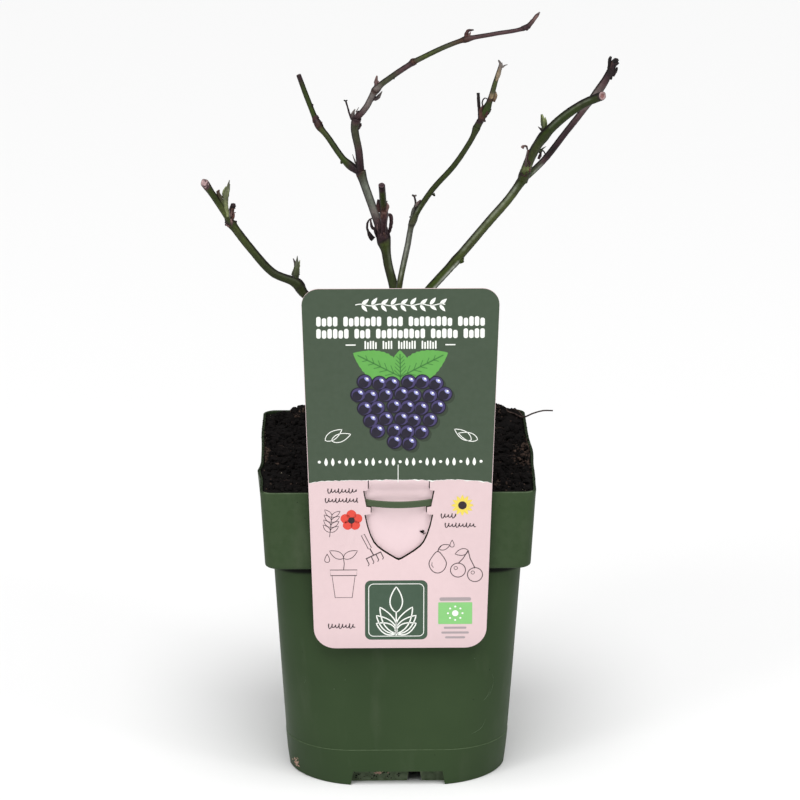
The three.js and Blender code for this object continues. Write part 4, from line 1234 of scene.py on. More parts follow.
def make_pot(material):
    pot = square_loft("pot_shell", outer_profile())
    inside = square_loft("pot_inside", inner_profile(WALL))
    cut(inside, niche_cuts(WALL))
    cut(pot, inside)
    cut(pot, niche_cuts(0))
    cut(pot, drain_cuts())
    pot.data.materials.clear()
    pot.data.materials.append(material)
    pot.data.shade_smooth()
    pot.data.set_sharp_from_angle(angle=SHARP_ANGLE)
    paint_light_and_soil(pot.data)
    finish_piece(pot, ["pot"])


def in_niche(face, x, y, height):
    near, far = sorted((abs(x), abs(y)))
    on_back = abs(far + NICHE_BACK) < NICHE_SLACK and near < NICHE_FOOT_WIDTH / 2
    return on_back and height < NICHE_HEIGHT and abs(face.normal.z) < LIP_FACING


def paint_light_and_soil(mesh):
    """Marks in red the painted light: a highlight on the lip, a paler collar and lighter niches; in green
    the crease's painted highlight; and in blue the soil on the side rims, the darkened walls inside and
    the painted shade in the groove under the collar."""
    layer = mesh.color_attributes.new("LightAndSoil", "FLOAT_COLOR", "CORNER")
    for face in mesh.polygons:
        x, y, height = face.center / MM
        lip = 0
        darkening = 0
        if face.normal.z > LIP_FACING and height > RIM_DIP_FOOT:
            # Painted highlight on the lip: strong at the front, faint on the sides, where soil darkens it
            at_front = -y > abs(x)
            lip = FRONT_LIP_HIGHLIGHT if at_front else SIDE_LIP_HIGHLIGHT
            darkening = 0 if at_front else LIP_GRIME
        elif height > COLLAR_FOOT and face.normal.x * x + face.normal.y * y < 0:
            # The walls inside are darkened
            darkening = INSIDE_DARKENING
        elif height > COLLAR_FOOT:
            # The collar is painted a little paler, as painted light
            lip = COLLAR_LIGHT_SHARE
        elif in_niche(face, x, y, height):
            # The niches' back walls are painted lighter against the shade in them
            lip = NICHE_LIGHT_SHARE
        # The upward-facing crease gets a painted highlight
        crease = face.normal.z > CREASE_FACING and abs(height - BAND_HEIGHT) < CREASE_REACH
        for corner in face.loop_indices:
            z = mesh.vertices[mesh.loops[corner].vertex_index].co.z / MM
            dark_share = darkening
            # Under the collar, painted shade darkens the groove and fades out downwards
            if BAND_HEIGHT < height <= COLLAR_FOOT:
                dark_share = smoothstep(COLLAR_FOOT - GROOVE_HEIGHT, COLLAR_FOOT - GROOVE_FULL, z)
            layer.data[corner].color = (lip, float(crease), dark_share, 1)


def make_bridge(material):
    """The bowed strap on the collar that the label's tongue is pushed behind."""
    low = BRIDGE_MIDDLE - BRIDGE_DROP - BRIDGE_HEIGHT / 2
    high = low + BRIDGE_HEIGHT
    rings = []
    for step in range(BRIDGE_STEPS + 1):
        across = -1 + 2 * step / BRIDGE_STEPS
        front = BRIDGE_BOW * (1 - across * across) + BRIDGE_WALL_Y - BRIDGE_SINK
        back = front - BRIDGE_WALL
        x = TONGUE_CENTRE_X + BRIDGE_HALF_WIDTH * across
        section = [
            (front - BRIDGE_EDGE, low), (front, low + BRIDGE_EDGE),
            (front, high - BRIDGE_EDGE), (front - BRIDGE_EDGE, high),
            (back, high), (back, low),
        ]
        rings.append([Vector((x, -y, z)) for y, z in section])
    points = [point for ring in rings for point in ring]
    faces = loft_faces(len(rings), len(rings[0]))
    bridge = make_piece("pot_bridge", points, faces, material)
    bridge.data.set_sharp_from_angle(angle=SHARP_ANGLE)


def wall_point(x, z, out=0.0):
    """The point on the pot's front wall at this x and height, moved outwards."""
    stations = [
        (0, FOOT_WIDTH, FOOT_RADIUS), (BAND_HEIGHT, BAND_WIDTH, BAND_RADIUS), *body_stations(0)[1:],
        (COLLAR_FOOT, COLLAR_FOOT_WIDTH, COLLAR_RADIUS), (POT_HEIGHT, RIM_WIDTH, COLLAR_RADIUS),
    ]
    low, high = next((a, b) for a, b in zip(stations, stations[1:]) if b[0] >= z and b[0] > a[0])
    share = (z - low[0]) / (high[0] - low[0])
    half = (low[1] + (high[1] - low[1]) * share) / 2
    radius = low[2] + (high[2] - low[2]) * share
    over = min(max(abs(x) - half + radius, 0) / radius, 0.99)
    normal = Vector((math.copysign(over, x), -math.sqrt(1 - over * over), 0))
    foot = Vector((math.copysign(min(abs(x), half - radius), x), radius - half, z))
    return foot + normal * (radius + out)


def make_pot_dirt(dark, smear, scuff):
    """Soil specks in the niches and on the walls, pinkish smears, pale scuffs and dots."""
    maker = random.Random(DIRT_SEED)
    niche_y = NICHE_BACK - SPECK_LIFT
    specks = Heap()
    for _ in range(NICHE_SPECKS):
        place = Vector((maker.uniform(*NICHE_SPECK_X), niche_y, maker.uniform(*NICHE_SPECK_HEIGHT)))
        add_crumb(specks, place, maker.uniform(*NICHE_SPECK_SIZE), maker)
    for _ in range(WALL_SPECKS):
        x = maker.uniform(*WALL_SPECK_X)
        height = maker.choice([maker.uniform(*span) for span in WALL_SPECK_HEIGHTS])
        place = quarter_turns(maker.randrange(4)) @ wall_point(x, height)
        add_crumb(specks, place, maker.uniform(*WALL_SPECK_SIZE), maker)
    specks.make("soil_specks_on_pot", dark, "potting_soil")
    smears = Heap()
    for in_corner, row in enumerate((NICHE_SMEARS, CORNER_SMEARS)):
        count, middle_x, spread_x, middle_height, spread_height, sizes = row
        for _ in range(count):
            x = middle_x + maker.gauss(0, spread_x)
            height = middle_height + maker.gauss(0, spread_height)
            place = wall_point(x, height, -SMEAR_SINK) if in_corner else Vector((x, niche_y, height))
            add_crumb(smears, place, maker.uniform(*sizes), maker)
    smears.make("clay_smears_on_pot", smear, "potting_soil")
    scuffs = Heap()
    for path, width in SCUFFS:
        add_scuff(scuffs, path, width, maker)
    for x, z, size in PALE_DOTS:
        add_crumb(scuffs, wall_point(x, z), size, maker)
    scuffs.make("pale_scuffs_on_pot", scuff, "pot_plastic")


def add_scuff(heap, path, width, maker):
    """A thin strip along a path on the front wall, ragged and pointed at both ends."""
    curve = catmull_rom([Vector((x, z, 0)) for x, z in path])
    points = []
    for step in range(SCUFF_STEPS + 1):
        spot = point_at(curve, step / SCUFF_STEPS)
        half = width / 2 * math.sin(math.pi * step / SCUFF_STEPS) * maker.uniform(0.5, 1)
        points.extend(wall_point(spot.x, spot.y + side * half, SCUFF_LIFT) for side in (-1, 1))
    corners = range(0, 2 * SCUFF_STEPS, 2)
    heap.add(points, [(low, low + 2, low + 3, low + 1) for low in corners], [])


# Soil
def rim_drop(y):
    return RIM_DIP * smoothstep(RIM_DIP_FROM, RIM_DIP_TO, y)


def soil_height(x, y):
    level = smoothstep(SOIL_FLAT_RADIUS, 2 * SOIL_FLAT_RADIUS, math.hypot(x, y))
    mounds = sum(
        mound["height"] * math.exp(-(math.hypot(x - mound["x"], y - mound["y"]) / mound["reach"]) ** 2)
        for mound in SOIL_MOUNDS
    )
    return SOIL_LEVEL + level * mounds - SOIL_DIP * smoothstep(0, RIM_DIP_TO, y)


def soil_surface(x, y):
    coarse = noise.fractal(Vector((x * LUMP_PACE, y * LUMP_PACE, 3)), *LUMP_NOISE)
    fine = noise.fractal(Vector((x * GRAIN_PACE, y * GRAIN_PACE, 9)), *GRAIN_NOISE)
    return soil_height(x, y) + SOIL_LIFT + LUMP_HEIGHT * max(coarse, -0.5) + GRAIN_HEIGHT * fine


def inside_rim(x, y):
    """The point, drawn in where it would leave the rounded square inside the rim."""
    reach = SOIL_HALF_WIDTH - SOIL_CORNER
    over_x = max(abs(x) - reach, 0)
    over_y = max(abs(y) - reach, 0)
    away = math.hypot(over_x, over_y)
    if away > SOIL_CORNER:
        over_x *= SOIL_CORNER / away
        over_y *= SOIL_CORNER / away
    x = math.copysign(min(abs(x), reach) + over_x, x)
    y = math.copysign(min(abs(y), reach) + over_y, y)
    moved = bulged(Vector((x, y, POT_HEIGHT)))
    return moved.x, moved.y


def make_soil(dark, brown, pale, fibre_material):
    width = SOIL_GRID + 1
    points = []
    for row in range(width):
        for column in range(width):
            x = SOIL_HALF_WIDTH * (2 * column / SOIL_GRID - 1)
            y = SOIL_HALF_WIDTH * (2 * row / SOIL_GRID - 1)
            x, y = inside_rim(x, y)
            points.append(Vector((x, y, soil_surface(x, y))))
    faces = list(grid_cells(width, width))
    border = grid_border(width, width)
    skirt = len(points)
    points.extend(points[corner] - Vector((0, 0, SOIL_SKIRT)) for corner in border)
    for step, corner in enumerate(border):
        after = (step + 1) % len(border)
        faces.append((border[after], corner, skirt + step, skirt + after))
    faces.append(tuple(skirt + step for step in reversed(range(len(border)))))
    make_piece("soil_surface", points, faces, dark)
    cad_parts["soil"].data.materials.clear()
    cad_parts["soil"].data.materials.append(dark)
    make_crumbs({"dark": dark, "brown": brown, "pale": pale})
    make_fibres(fibre_material)


def crumb_shape(subdivisions):
    ball = bmesh.new()
    bmesh.ops.create_icosphere(ball, subdivisions=subdivisions, radius=1)
    corners = [vertex.co.copy() for vertex in ball.verts]
    faces = [tuple(vertex.index for vertex in face.verts) for face in ball.faces]
    ball.free()
    return corners, faces


SMALL_CRUMB = crumb_shape(1)
LARGE_CRUMB = crumb_shape(2)


def add_crumb(heap, place, size, maker):
    corners, faces = LARGE_CRUMB if size > LARGE_CRUMB_SIZE else SMALL_CRUMB
    angle = maker.uniform(0, 6.3)
    turn = Matrix.Rotation(angle, 3, [maker.gauss(0, 1) for _ in range(3)])
    squash = Vector([maker.uniform(*span) for span in CRUMB_SQUASH]) * size
    points = []
    for corner in corners:
        rough = maker.uniform(*CRUMB_ROUGHNESS)
        shaped = Vector((corner.x * squash.x, corner.y * squash.y, corner.z * squash.z)) * rough
        points.append(place + turn @ shaped)
    heap.add(points, faces, [])


def crumb_place(x, y, size, lift):
    """The middle of a crumb on the soil, drawn in from the walls by its size."""
    inner = Vector((x, y, 0)) * (1 - size / SOIL_HALF_WIDTH)
    return Vector((inner.x, inner.y, soil_surface(x, y) + lift))


def make_crumbs(materials):
    maker = random.Random(CRUMB_SEED)
    kinds = {kind: Heap() for kind in materials}
    for kind, (count, smallest, largest) in SCATTERED.items():
        for _ in range(count):
            x, y = inside_rim(*(maker.uniform(-SOIL_HALF_WIDTH, SOIL_HALF_WIDTH) for _ in range(2)))
            size = smallest + (largest - smallest) * maker.random() ** 3
            lift = size * maker.uniform(*CRUMB_LIFT)
            add_crumb(kinds[kind], crumb_place(x, y, size, lift), size, maker)
    for lump in PEAT_LUMPS:
        for _ in range(lump["crumbs"]):
            x = lump["x"] + maker.gauss(0, lump["reach"] / 2)
            y = lump["y"] + maker.gauss(0, lump["reach"] / 2)
            size = maker.uniform(*PEAT_CRUMB_SIZE)
            x, y = inside_rim(x, y)
            away = math.hypot(x - lump["x"], y - lump["y"]) / lump["reach"]
            rise = lump["height"] * math.exp(-away * away * 2) * maker.random()
            kind = "brown" if maker.random() < PEAT_BROWN_SHARE else "dark"
            add_crumb(kinds[kind], crumb_place(x, y, size, rise), size, maker)
    for middle, spread, side, count, kind in RIM_DIRT:
        for _ in range(count):
            y = min(max(middle + maker.gauss(0, spread), -SOIL_EDGE), SOIL_EDGE)
            z = POT_HEIGHT - maker.random() ** 2 * RIM_DIRT_DEPTH
            x, y = inside_rim(side * SOIL_HALF_WIDTH, y)
            add_crumb(kinds[kind], Vector((x, y, z - rim_drop(y))), maker.uniform(*RIM_DIRT_SIZE), maker)
    for _ in range(RIM_TOP_CRUMBS):
        side = maker.choice((-1, 1))
        x, y = inside_rim(side * SOIL_HALF_WIDTH, maker.uniform(-SOIL_EDGE, SOIL_EDGE))
        x += side * (GAP + WALL * maker.uniform(0, 0.9))
        place = Vector((x, y, POT_HEIGHT - rim_drop(y)))
        add_crumb(kinds["dark"], place, maker.uniform(*RIM_TOP_SIZE), maker)
    for kind, heap in kinds.items():
        heap.make(f"soil_crumbs_{kind}", materials[kind], "potting_soil")


def tube(path, radii, sides):
    """A thin closed tube through the points, kept from twisting."""
    points = []
    normal = None
    for step, centre in enumerate(path):
        before = path[max(step - 1, 0)]
        after = path[min(step + 1, len(path) - 1)]
        along = (after - before).normalized()
        if normal is None:
            normal = along.orthogonal().normalized()
        normal = (normal - along * normal.dot(along)).normalized()
        across = along.cross(normal)
        for side in range(sides):
            angle = 2 * math.pi * side / sides
            points.append(centre + (normal * math.cos(angle) + across * math.sin(angle)) * radii[step])
    return points, loft_faces(len(path), sides)


def make_fibres(material):
    maker = random.Random(FIBRE_SEED)
    heap = Heap()
    for _ in range(FIBRES):
        x, y = (maker.uniform(-SOIL_EDGE, SOIL_EDGE) for _ in range(2))
        heading = maker.uniform(0, 2 * math.pi)
        bend = maker.uniform(-FIBRE_BEND, FIBRE_BEND)
        stride = maker.uniform(*FIBRE_STRIDE)
        path = []
        for step in range(FIBRE_STEPS + 1):
            x, y = inside_rim(x + stride * math.cos(heading), y + stride * math.sin(heading))
            x, y = x * FIBRE_DRAW_IN, y * FIBRE_DRAW_IN
            heading += bend
            arch = FIBRE_ARCH * math.sin(math.pi * step / FIBRE_STEPS) * maker.random()
            path.append(Vector((x, y, soil_surface(x, y) + FIBRE_LIFT + arch)))
        thickness = maker.uniform(*FIBRE_THICKNESS)
        heap.add(*tube(path, [thickness] * len(path), FIBRE_SIDES), [])
    curve = catmull_rom([Vector(place) for place in ROOT_FIBRE])
    root = [point_at(curve, step / ROOT_STEPS) for step in range(ROOT_STEPS + 1)]
    radii = [ROOT_RADIUS - ROOT_TAPER * step for step in range(len(root))]
    heap.add(*tube(root, radii, ROOT_SIDES), [])
    spur = [root[SPUR_STEP] + Vector(place) for place in SPUR]
    heap.add(*tube(spur, SPUR_RADII, SPUR_SIDES), [])
    heap.make("soil_fibres", material, "potting_soil", smooth=True)


# Canes
def catmull_rom(points):
    """Centripetal curve through the points, as a list of close points and their distances."""
    padded = [2 * points[0] - points[1], *points, 2 * points[-1] - points[-2]]
    path = []
    for span in range(len(points) - 1):
        p0, p1, p2, p3 = padded[span:span + 4]
        d0, d1, d2 = (math.sqrt((b - a).length) for a, b in ((p0, p1), (p1, p2), (p2, p3)))
        t1 = ((p1 - p0) / d0 - (p2 - p0) / (d0 + d1) + (p2 - p1) / d1) * d1
        t2 = ((p2 - p1) / d1 - (p3 - p1) / (d1 + d2) + (p3 - p2) / d2) * d1
        for sample in range(CURVE_SAMPLES):
            t = sample / CURVE_SAMPLES
            square = (3 * (p2 - p1) - 2 * t1 - t2) * t ** 2
            path.append(p1 + t1 * t + square + (2 * (p1 - p2) + t1 + t2) * t ** 3)
    path.append(points[-1].copy())
    distances = [0]
    for before, after in zip(path, path[1:]):
        distances.append(distances[-1] + (after - before).length)
    return {"path": path, "distances": distances, "length": distances[-1]}


def point_at(curve, share):
    wanted = share * curve["length"]
    for step, distance in enumerate(curve["distances"]):
        if distance >= wanted and step > 0:
            before = curve["distances"][step - 1]
            part = (wanted - before) / (distance - before)
            return curve["path"][step - 1].lerp(curve["path"][step], part)
    return curve["path"][-1 if share > 0.5 else 0].copy()


def tangent_at(curve, share):
    low = max(share - TANGENT_REACH, 0)
    high = min(share + TANGENT_REACH, 1)
    return (point_at(curve, high) - point_at(curve, low)).normalized()


def direction(lean, heading):
    across = math.sin(math.radians(lean))
    turn = math.radians(heading)
    return Vector((across * math.cos(turn), across * math.sin(turn), math.cos(math.radians(lean))))


def limb_curve(limb, grown):
    if "start" in limb:
        parent, share = limb["start"]
        start = point_at(grown[parent], share)
    else:
        start = Vector((0, 0, SOIL_LEVEL + GAP))
    points = [start]
    for length, lean, heading in limb["internodes"]:
        points.append(points[-1] + direction(lean, heading) * length)
    return catmull_rom(points)


def near_scars(limb, share, reach, offset=0):
    """How close this share is to the limb's leaf scars, each one counting for up to 1."""
    total = limb["total"]
    return sum(math.exp(-((share - at) * total / reach - offset) ** 2) for at in limb.get("scars", ()))


def slanted(limb, share, out):
    """The share of a limb's length, bent near its leaf scars so that they ring it aslant."""
    near = near_scars(limb, share, SLANT_REACH)
    return share - limb.get("slant", SLANT) * out.x * near / limb["total"]


def limb_radius(limb, share):
    base, tip = limb["radius"]
    total = limb["total"]
    knots = sum(
        extra * math.exp(-((share - at) * total / reach) ** 2)
        for at, extra, reach in limb["knots"]
    )
    return base + (tip - base) * share + knots + SCAR_HEIGHT * near_scars(limb, share, SCAR_REACH)


def bark_relief(angle, distance, seed, coarse):
    around = Vector((math.cos(angle), math.sin(angle), 0))
    ridges = RIDGE_RELIEF * math.cos(BARK_RIDGES * angle + distance * 0.04 + seed)
    furrows = noise.noise(around * 2.6 + Vector((0, 0, distance * 0.09 + seed)))
    pimples = noise.noise(around * 7 + Vector((0, 0, distance * 1.1 + seed)))
    return ridges + coarse * (FURROW_RELIEF * furrows + PIMPLE_RELIEF * pimples)


def bark_colour(limb, share, distance, angle, out, along, seed):
    around = Vector((math.cos(angle), math.sin(angle), 0))
    blotch = noise.fractal(around * 0.9 + Vector((0, 0, distance * 0.16 + seed)), 0.8, 2.0, 3)
    wander = TINT_WANDER * noise.noise(Vector((seed, distance * 0.25, angle * 0.5))) / limb["total"]
    colour = gradient(limb["tints"], min(max(share + wander, 0), 1))
    colour = tuple(part * limb.get("tone", 1) for part in colour)
    colour = mix(colour, TINTS["plum"], BLOTCH_SHARE * smoothstep(0.1, 0.7, blotch))
    # Pale bloom streaks only on the upper side, partly bloom and partly painted light from above
    streak = noise.noise(around * 4 + Vector((0, 0, distance * 0.07 + seed)))
    colour = mix(colour, TINTS["bloom"], BLOOM_AND_TOP_LIGHT_SHARE * smoothstep(0.1, 0.5, streak) * max(out.z, 0))
    flank = out.dot(along.cross(Vector((0, 1, 0))).normalized()) * math.copysign(1, along.z)
    shade = FLANK_SHADE * (1 + 0.5 * noise.noise(Vector((distance * 0.4, flank, seed))))
    colour = mix(colour, TINTS["dark"], shade * smoothstep(0.55, 0.95, abs(flank)))
    # Pale wax streaks, painted as highlights on the front-facing side
    for first, last, across, width, strength in limb.get("wax_highlights", ()):
        if out.y < WAX_HIGHLIGHT_FACING:
            ends = smoothstep(first, first + WAX_HIGHLIGHT_EDGE, share) * smoothstep(last, last - WAX_HIGHLIGHT_EDGE, share)
            broken = 0.75 + 0.5 * noise.noise(Vector((seed, distance * 0.6, 3)))
            weight = strength * ends * broken * math.exp(-((flank + across) / width) ** 2)
            colour = mix(colour, TINTS["wax_highlight"], WAX_HIGHLIGHT_SHARE * weight)
    return mix(colour, TINTS["dark"], SCAR_SHADE * near_scars(limb, share, SCAR_REACH, 1))


def make_limb(limb, grown, material, seed):
    curve = limb_curve(limb, grown)
    grown[limb["name"]] = curve
    length = curve["length"]
    limb["total"] = length
    steps = max(6, round(length / LIMB_STEP))
    coarse = STEM_COARSE if limb["name"] == "stem" else 1
    end = limb.get("end", "joined")
    points = []
    colours = []
    normal = None
    for step in range(steps + 1):
        share = step / steps
        along = tangent_at(curve, share)
        centre = point_at(curve, share)
        if step == 0 and "start" in limb:
            centre = centre - along * LIMB_EMBED
        normal = along.orthogonal().normalized() if normal is None else normal
        normal = (normal - along * normal.dot(along)).normalized()
        across = along.cross(normal)
        slope = limb.get("slope", 0) * max(1 - (1 - share) * length / SLOPE_REACH, 0)
        for side in range(LIMB_SIDES):
            angle = 2 * math.pi * side / LIMB_SIDES
            out = normal * math.cos(angle) + across * math.sin(angle)
            bent = slanted(limb, share, out)
            radius = limb_radius(limb, bent)
            reach = radius + bark_relief(angle, share * length, seed, coarse) * min(radius, 2)
            point = centre + out * reach
            point += along * (slope * reach * out.y)
            if end == "broken" and step == steps:
                point += along * random.uniform(*RAGGED_ENDS)
            points.append(point)
            colours.append(bark_colour(limb, bent, share * length, angle, out, along, seed))
    faces = loft_faces(steps + 1, LIMB_SIDES, closed_ends=False)
    faces.append(tuple(reversed(range(LIMB_SIDES))))
    close_end(limb, ENDS[end], points, faces, colours, along)
    name = f"bark_{limb['name']}"
    make_piece(name, points, faces, material, colours, replaces=[limb["name"]])


def close_end(limb, rings, points, faces, colours, along):
    """Ends a limb in a cut face with its pith, in a ragged break or in a blunt point."""
    last = points[-LIMB_SIDES:]
    centre = sum(last, Vector()) / LIMB_SIDES
    own = {"wood": limb.get("wood", "pale_wood"), "pith": limb.get("pith", "pith")}
    for share, lift, tint in rings:
        start = len(points)
        for side in range(LIMB_SIDES):
            points.append(centre.lerp(last[side], share) + along * lift)
            cloud = noise.noise(Vector((side * 0.9, share * 9, len(points) * 0.01)))
            mottle = PITH_MOTTLE * max(cloud, 0)
            patch = noise.noise(points[-1] * 1.1)
            # The stain blotches the cut face and darkens its right side, partly as painted shade
            mottle += limb.get("stain_and_shade", 0) * smoothstep(0, 0.3, patch + 0.2 * (points[-1] - centre).x)
            colours.append(mix(TINTS[own.get(tint, tint)], TINTS["plum"], mottle))
            before = start - LIMB_SIDES
            after = (side + 1) % LIMB_SIDES
            faces.append((before + side, before + after, start + after, start + side))
    faces.append(tuple(range(len(points) - LIMB_SIDES, len(points))))


# Buds, sprouts, dry stalks and stipules
def ribbon(base, maker, spots, foot_tint, tip_tint, front=0, roundness=0.5):
    """A closed ribbon along a part's path, with ragged edges and colours from foot to tip."""
    corners = [base + Vector((right, -front, up)) for right, up, _ in spots]
    halves = [half for _, _, half in spots]
    steps = BIT_STEPS * (len(corners) - 1)
    shares = [step / steps for step in range(steps + 1)]
    if len(corners) > 2:
        curve = catmull_rom(corners)
        path = [point_at(curve, share) for share in shares]
    else:
        path = [corners[0].lerp(corners[1], share) for share in shares]
    first, last = TINTS[foot_tint], TINTS[tip_tint]
    points = []
    colours = []
    phase = maker.uniform(0, 9)
    for step, centre in enumerate(path):
        along = (path[min(step + 1, steps)] - path[max(step - 1, 0)]).normalized()
        across = along.cross(Vector((0, 1, 0))).normalized()
        depth = along.cross(across)
        place = step / BIT_STEPS
        low = min(int(place), len(corners) - 2)
        half = halves[low] + (halves[low + 1] - halves[low]) * (place - low)
        for side in range(BIT_SIDES):
            angle = 2 * math.pi * side / BIT_SIDES
            rough = 1 + BIT_ROUGHNESS * noise.noise(Vector((phase + side * 1.7, place * 3.1, phase)))
            out = across * math.cos(angle) + depth * math.sin(angle) * roundness
            points.append(centre + out * half * rough)
            mottle = 0.5 + 0.5 * noise.noise(Vector((phase, side * 0.9, place * 2.3)))
            colours.append(mix(mix(first, last, step / steps), TINTS["dark"], BIT_SHADE * mottle))
    return points, loft_faces(steps + 1, BIT_SIDES), colours


def make_bits(name, groups, grown, material, slot):
    maker = random.Random(BIT_SEED)
    heap = Heap()
    for limb, share, parts in groups:
        base = point_at(grown[limb], share)
        for part in parts:
            heap.add(*ribbon(base, maker, *part))
    heap.make(name, material, slot, smooth=True)


def make_canes():
    bark, old_bark, leaf, dry = (tinted(name) for name in FINISHES)
    grown = {}
    for number, limb in enumerate(LIMBS):
        make_limb(limb, grown, old_bark if limb["name"] == "stem" else bark, SEED_STEP * number)
    make_bits("sprouts", SPROUTS, grown, leaf, "green_bark")
    make_bits("dry_buds_and_stipules", DRY_BITS, grown, dry, "brown_bark")


# Label
LABEL_PLACE = (
    Matrix.Translation((TONGUE_CENTRE_X, -BRIDGE_WALL_Y - LABEL_CLEARANCE, BRIDGE_MIDDLE))
    @ Matrix.Rotation(math.radians(90 + LABEL_LEAN), 4, "X")
)


def on_label(across, up, out):
    return LABEL_PLACE @ Vector((across, up, out))


def arc(centre_x, centre_y, radius, start, stop):
    angles = [math.radians(start + (stop - start) * step / ARC_STEPS) for step in range(ARC_STEPS + 1)]
    return [(centre_x + radius * math.cos(a), centre_y + radius * math.sin(a)) for a in angles]


def card_outline(inset=0.0):
    top_x = LABEL_TOP_WIDTH / 2 - LABEL_TOP_RADIUS
    top_y = LABEL_RISE - LABEL_TOP_RADIUS
    foot_x = LABEL_FOOT_WIDTH / 2 - LABEL_FOOT_RADIUS
    foot_y = LABEL_FOOT_RADIUS - LABEL_DROP
    outline = [
        *arc(foot_x, foot_y, LABEL_FOOT_RADIUS - inset, -90, 0),
        *arc(top_x, top_y, LABEL_TOP_RADIUS - inset, 0, 90),
        *arc(-top_x, top_y, LABEL_TOP_RADIUS - inset, 90, 180),
        *arc(-foot_x, foot_y, LABEL_FOOT_RADIUS - inset, 180, 270),
    ]
    return [(x + CARD_SHIFT, y) for x, y in outline]


def tongue_half_width(height):
    for (wide, high), (narrow, low) in zip(TONGUE_OUTLINE, TONGUE_OUTLINE[1:]):
        if height >= low:
            return wide + (narrow - wide) * (high - height) / (high - low)
    return 0


def tongue_hole():
    right = [(half + CUT_WIDTH, min(height, TONGUE_HINGE)) for half, height in TONGUE_OUTLINE[:-1]]
    left = [(-x, y) for x, y in reversed(right)]
    return [*right, (0, TONGUE_OUTLINE[-1][1] - CUT_WIDTH), *left]


def make_card(material):
    curve = bpy.data.curves.new("card", "CURVE")
    curve.dimensions = "2D"
    curve.fill_mode = "BOTH"
    curve.extrude = LABEL_THICKNESS / 2 - LABEL_EDGE
    curve.bevel_depth = LABEL_EDGE
    curve.bevel_resolution = 2
    curve.offset = -LABEL_EDGE
    for outline in (card_outline(), tongue_hole()):
        spline = curve.splines.new("POLY")
        spline.points.add(len(outline) - 1)
        for point, (x, y) in zip(spline.points, outline):
            point.co = (x, y, 0, 1)
        spline.use_cyclic_u = True
    holder = link(bpy.data.objects.new("card_curve", curve))
    graph = bpy.context.evaluated_depsgraph_get()
    flat = bpy.data.meshes.new_from_object(holder.evaluated_get(graph))
    bpy.data.objects.remove(holder)
    shell = bmesh.new()
    shell.from_mesh(flat)
    bmesh.ops.remove_doubles(shell, verts=shell.verts, dist=0.001)
    bmesh.ops.recalc_face_normals(shell, faces=shell.faces)
    points = [on_label(v.co.x, v.co.y, v.co.z + LABEL_THICKNESS / 2) for v in shell.verts]
    faces = [tuple(v.index for v in face.verts) for face in shell.faces]
    shell.free()
    bpy.data.meshes.remove(flat)
    card = make_piece("label_card", points, faces, material, replaces=["label"])
    card.data.set_sharp_from_angle(angle=SHARP_ANGLE)


def tongue_depth(height):
    """How far the tongue has stepped back behind the bridge at this height."""
    return -TONGUE_SETBACK * smoothstep(TONGUE_HINGE, TONGUE_HINGE - TONGUE_RAMP, height)


def make_tongue(material, dirt):
    top = TONGUE_HINGE + TONGUE_LAP
    low = TONGUE_OUTLINE[-1][1]
    rows = round((top - low) / TONGUE_ROW)
    heights = {top - (top - low) * row / rows for row in range(rows + 1)}
    heights |= {height for _, height in TONGUE_OUTLINE[1:]}
    front = []
    for height in sorted(heights, reverse=True):
        half = max(tongue_half_width(height), 0.05)
        for column in range(TONGUE_COLUMNS + 1):
            across = half * (2 * column / TONGUE_COLUMNS - 1)
            front.append((across, height, tongue_depth(height)))
    back = len(front)
    points = [on_label(x, y, z + LABEL_THICKNESS) for x, y, z in front]
    points += [on_label(x, y, z) for x, y, z in front]
    faces = []
    for a, b, c, d in grid_cells(TONGUE_COLUMNS + 1, len(heights)):
        faces.append((a, d, c, b))
        faces.append((back + b, back + c, back + d, back + a))
    rim = grid_border(TONGUE_COLUMNS + 1, len(heights))
    for step, corner in enumerate(rim):
        after = rim[(step + 1) % len(rim)]
        faces.append((corner, after, back + after, back + corner))
    tongue = make_piece("label_tongue", points, faces, material)
    tongue.data.set_sharp_from_angle(angle=SHARP_ANGLE)
    heap = Heap()
    maker = random.Random(TONGUE_SEED)
    count, middle_across, spread_across, middle_up, spread_up, sizes = TONGUE_SPECKS
    for _ in range(count):
        across = middle_across + maker.gauss(0, spread_across)
        up = middle_up + maker.gauss(0, spread_up)
        place = on_label(across, up, LABEL_THICKNESS + 0.15 + tongue_depth(up))
        add_crumb(heap, place, maker.uniform(*sizes), maker)
    heap.make("soil_speck_on_tongue", dirt, "potting_soil")


# Print on the label. The numbers of the drawings are millimetres on the card
def panel_foot(across):
    """Height of the wavy lower boundary of the green panel."""
    wave = sum(height * noise.noise(Vector((across * pace, row, 0))) for height, pace, row in PANEL_WAVES)
    return PANEL_FOOT + wave - PANEL_DROOP * (abs(across) / PANEL_REACH) ** 6


def print_shapes(name, shapes, material, layer):
    """Flat shapes of one ink, laid on the card's face."""
    heap = Heap()
    for shape in shapes:
        points = [on_label(x, y, LABEL_THICKNESS + PRINT_LAYER * layer) for x, y in shape]
        heap.add(points, [tuple(range(len(points)))], [])
    heap.make(f"print_{name}", material, "label_card")


def line_shapes(path, width, closed=False):
    """Thin quads that follow a drawn line."""
    path = [Vector(point) for point in path]
    if closed:
        path.append(path[0])
    sides = []
    for step, point in enumerate(path):
        before = path[step - 1] if step > 0 else (path[-2] if closed else point)
        after = path[step + 1] if step < len(path) - 1 else (path[1] if closed else point)
        along = (after - before).normalized()
        across = Vector((-along.y, along.x)) * (width / 2)
        sides.append((point - across, point + across))
    return [[a, c, d, b] for (a, b), (c, d) in zip(sides, sides[1:])]


def loop_shapes(path, width):
    return line_shapes(path, width, closed=True)


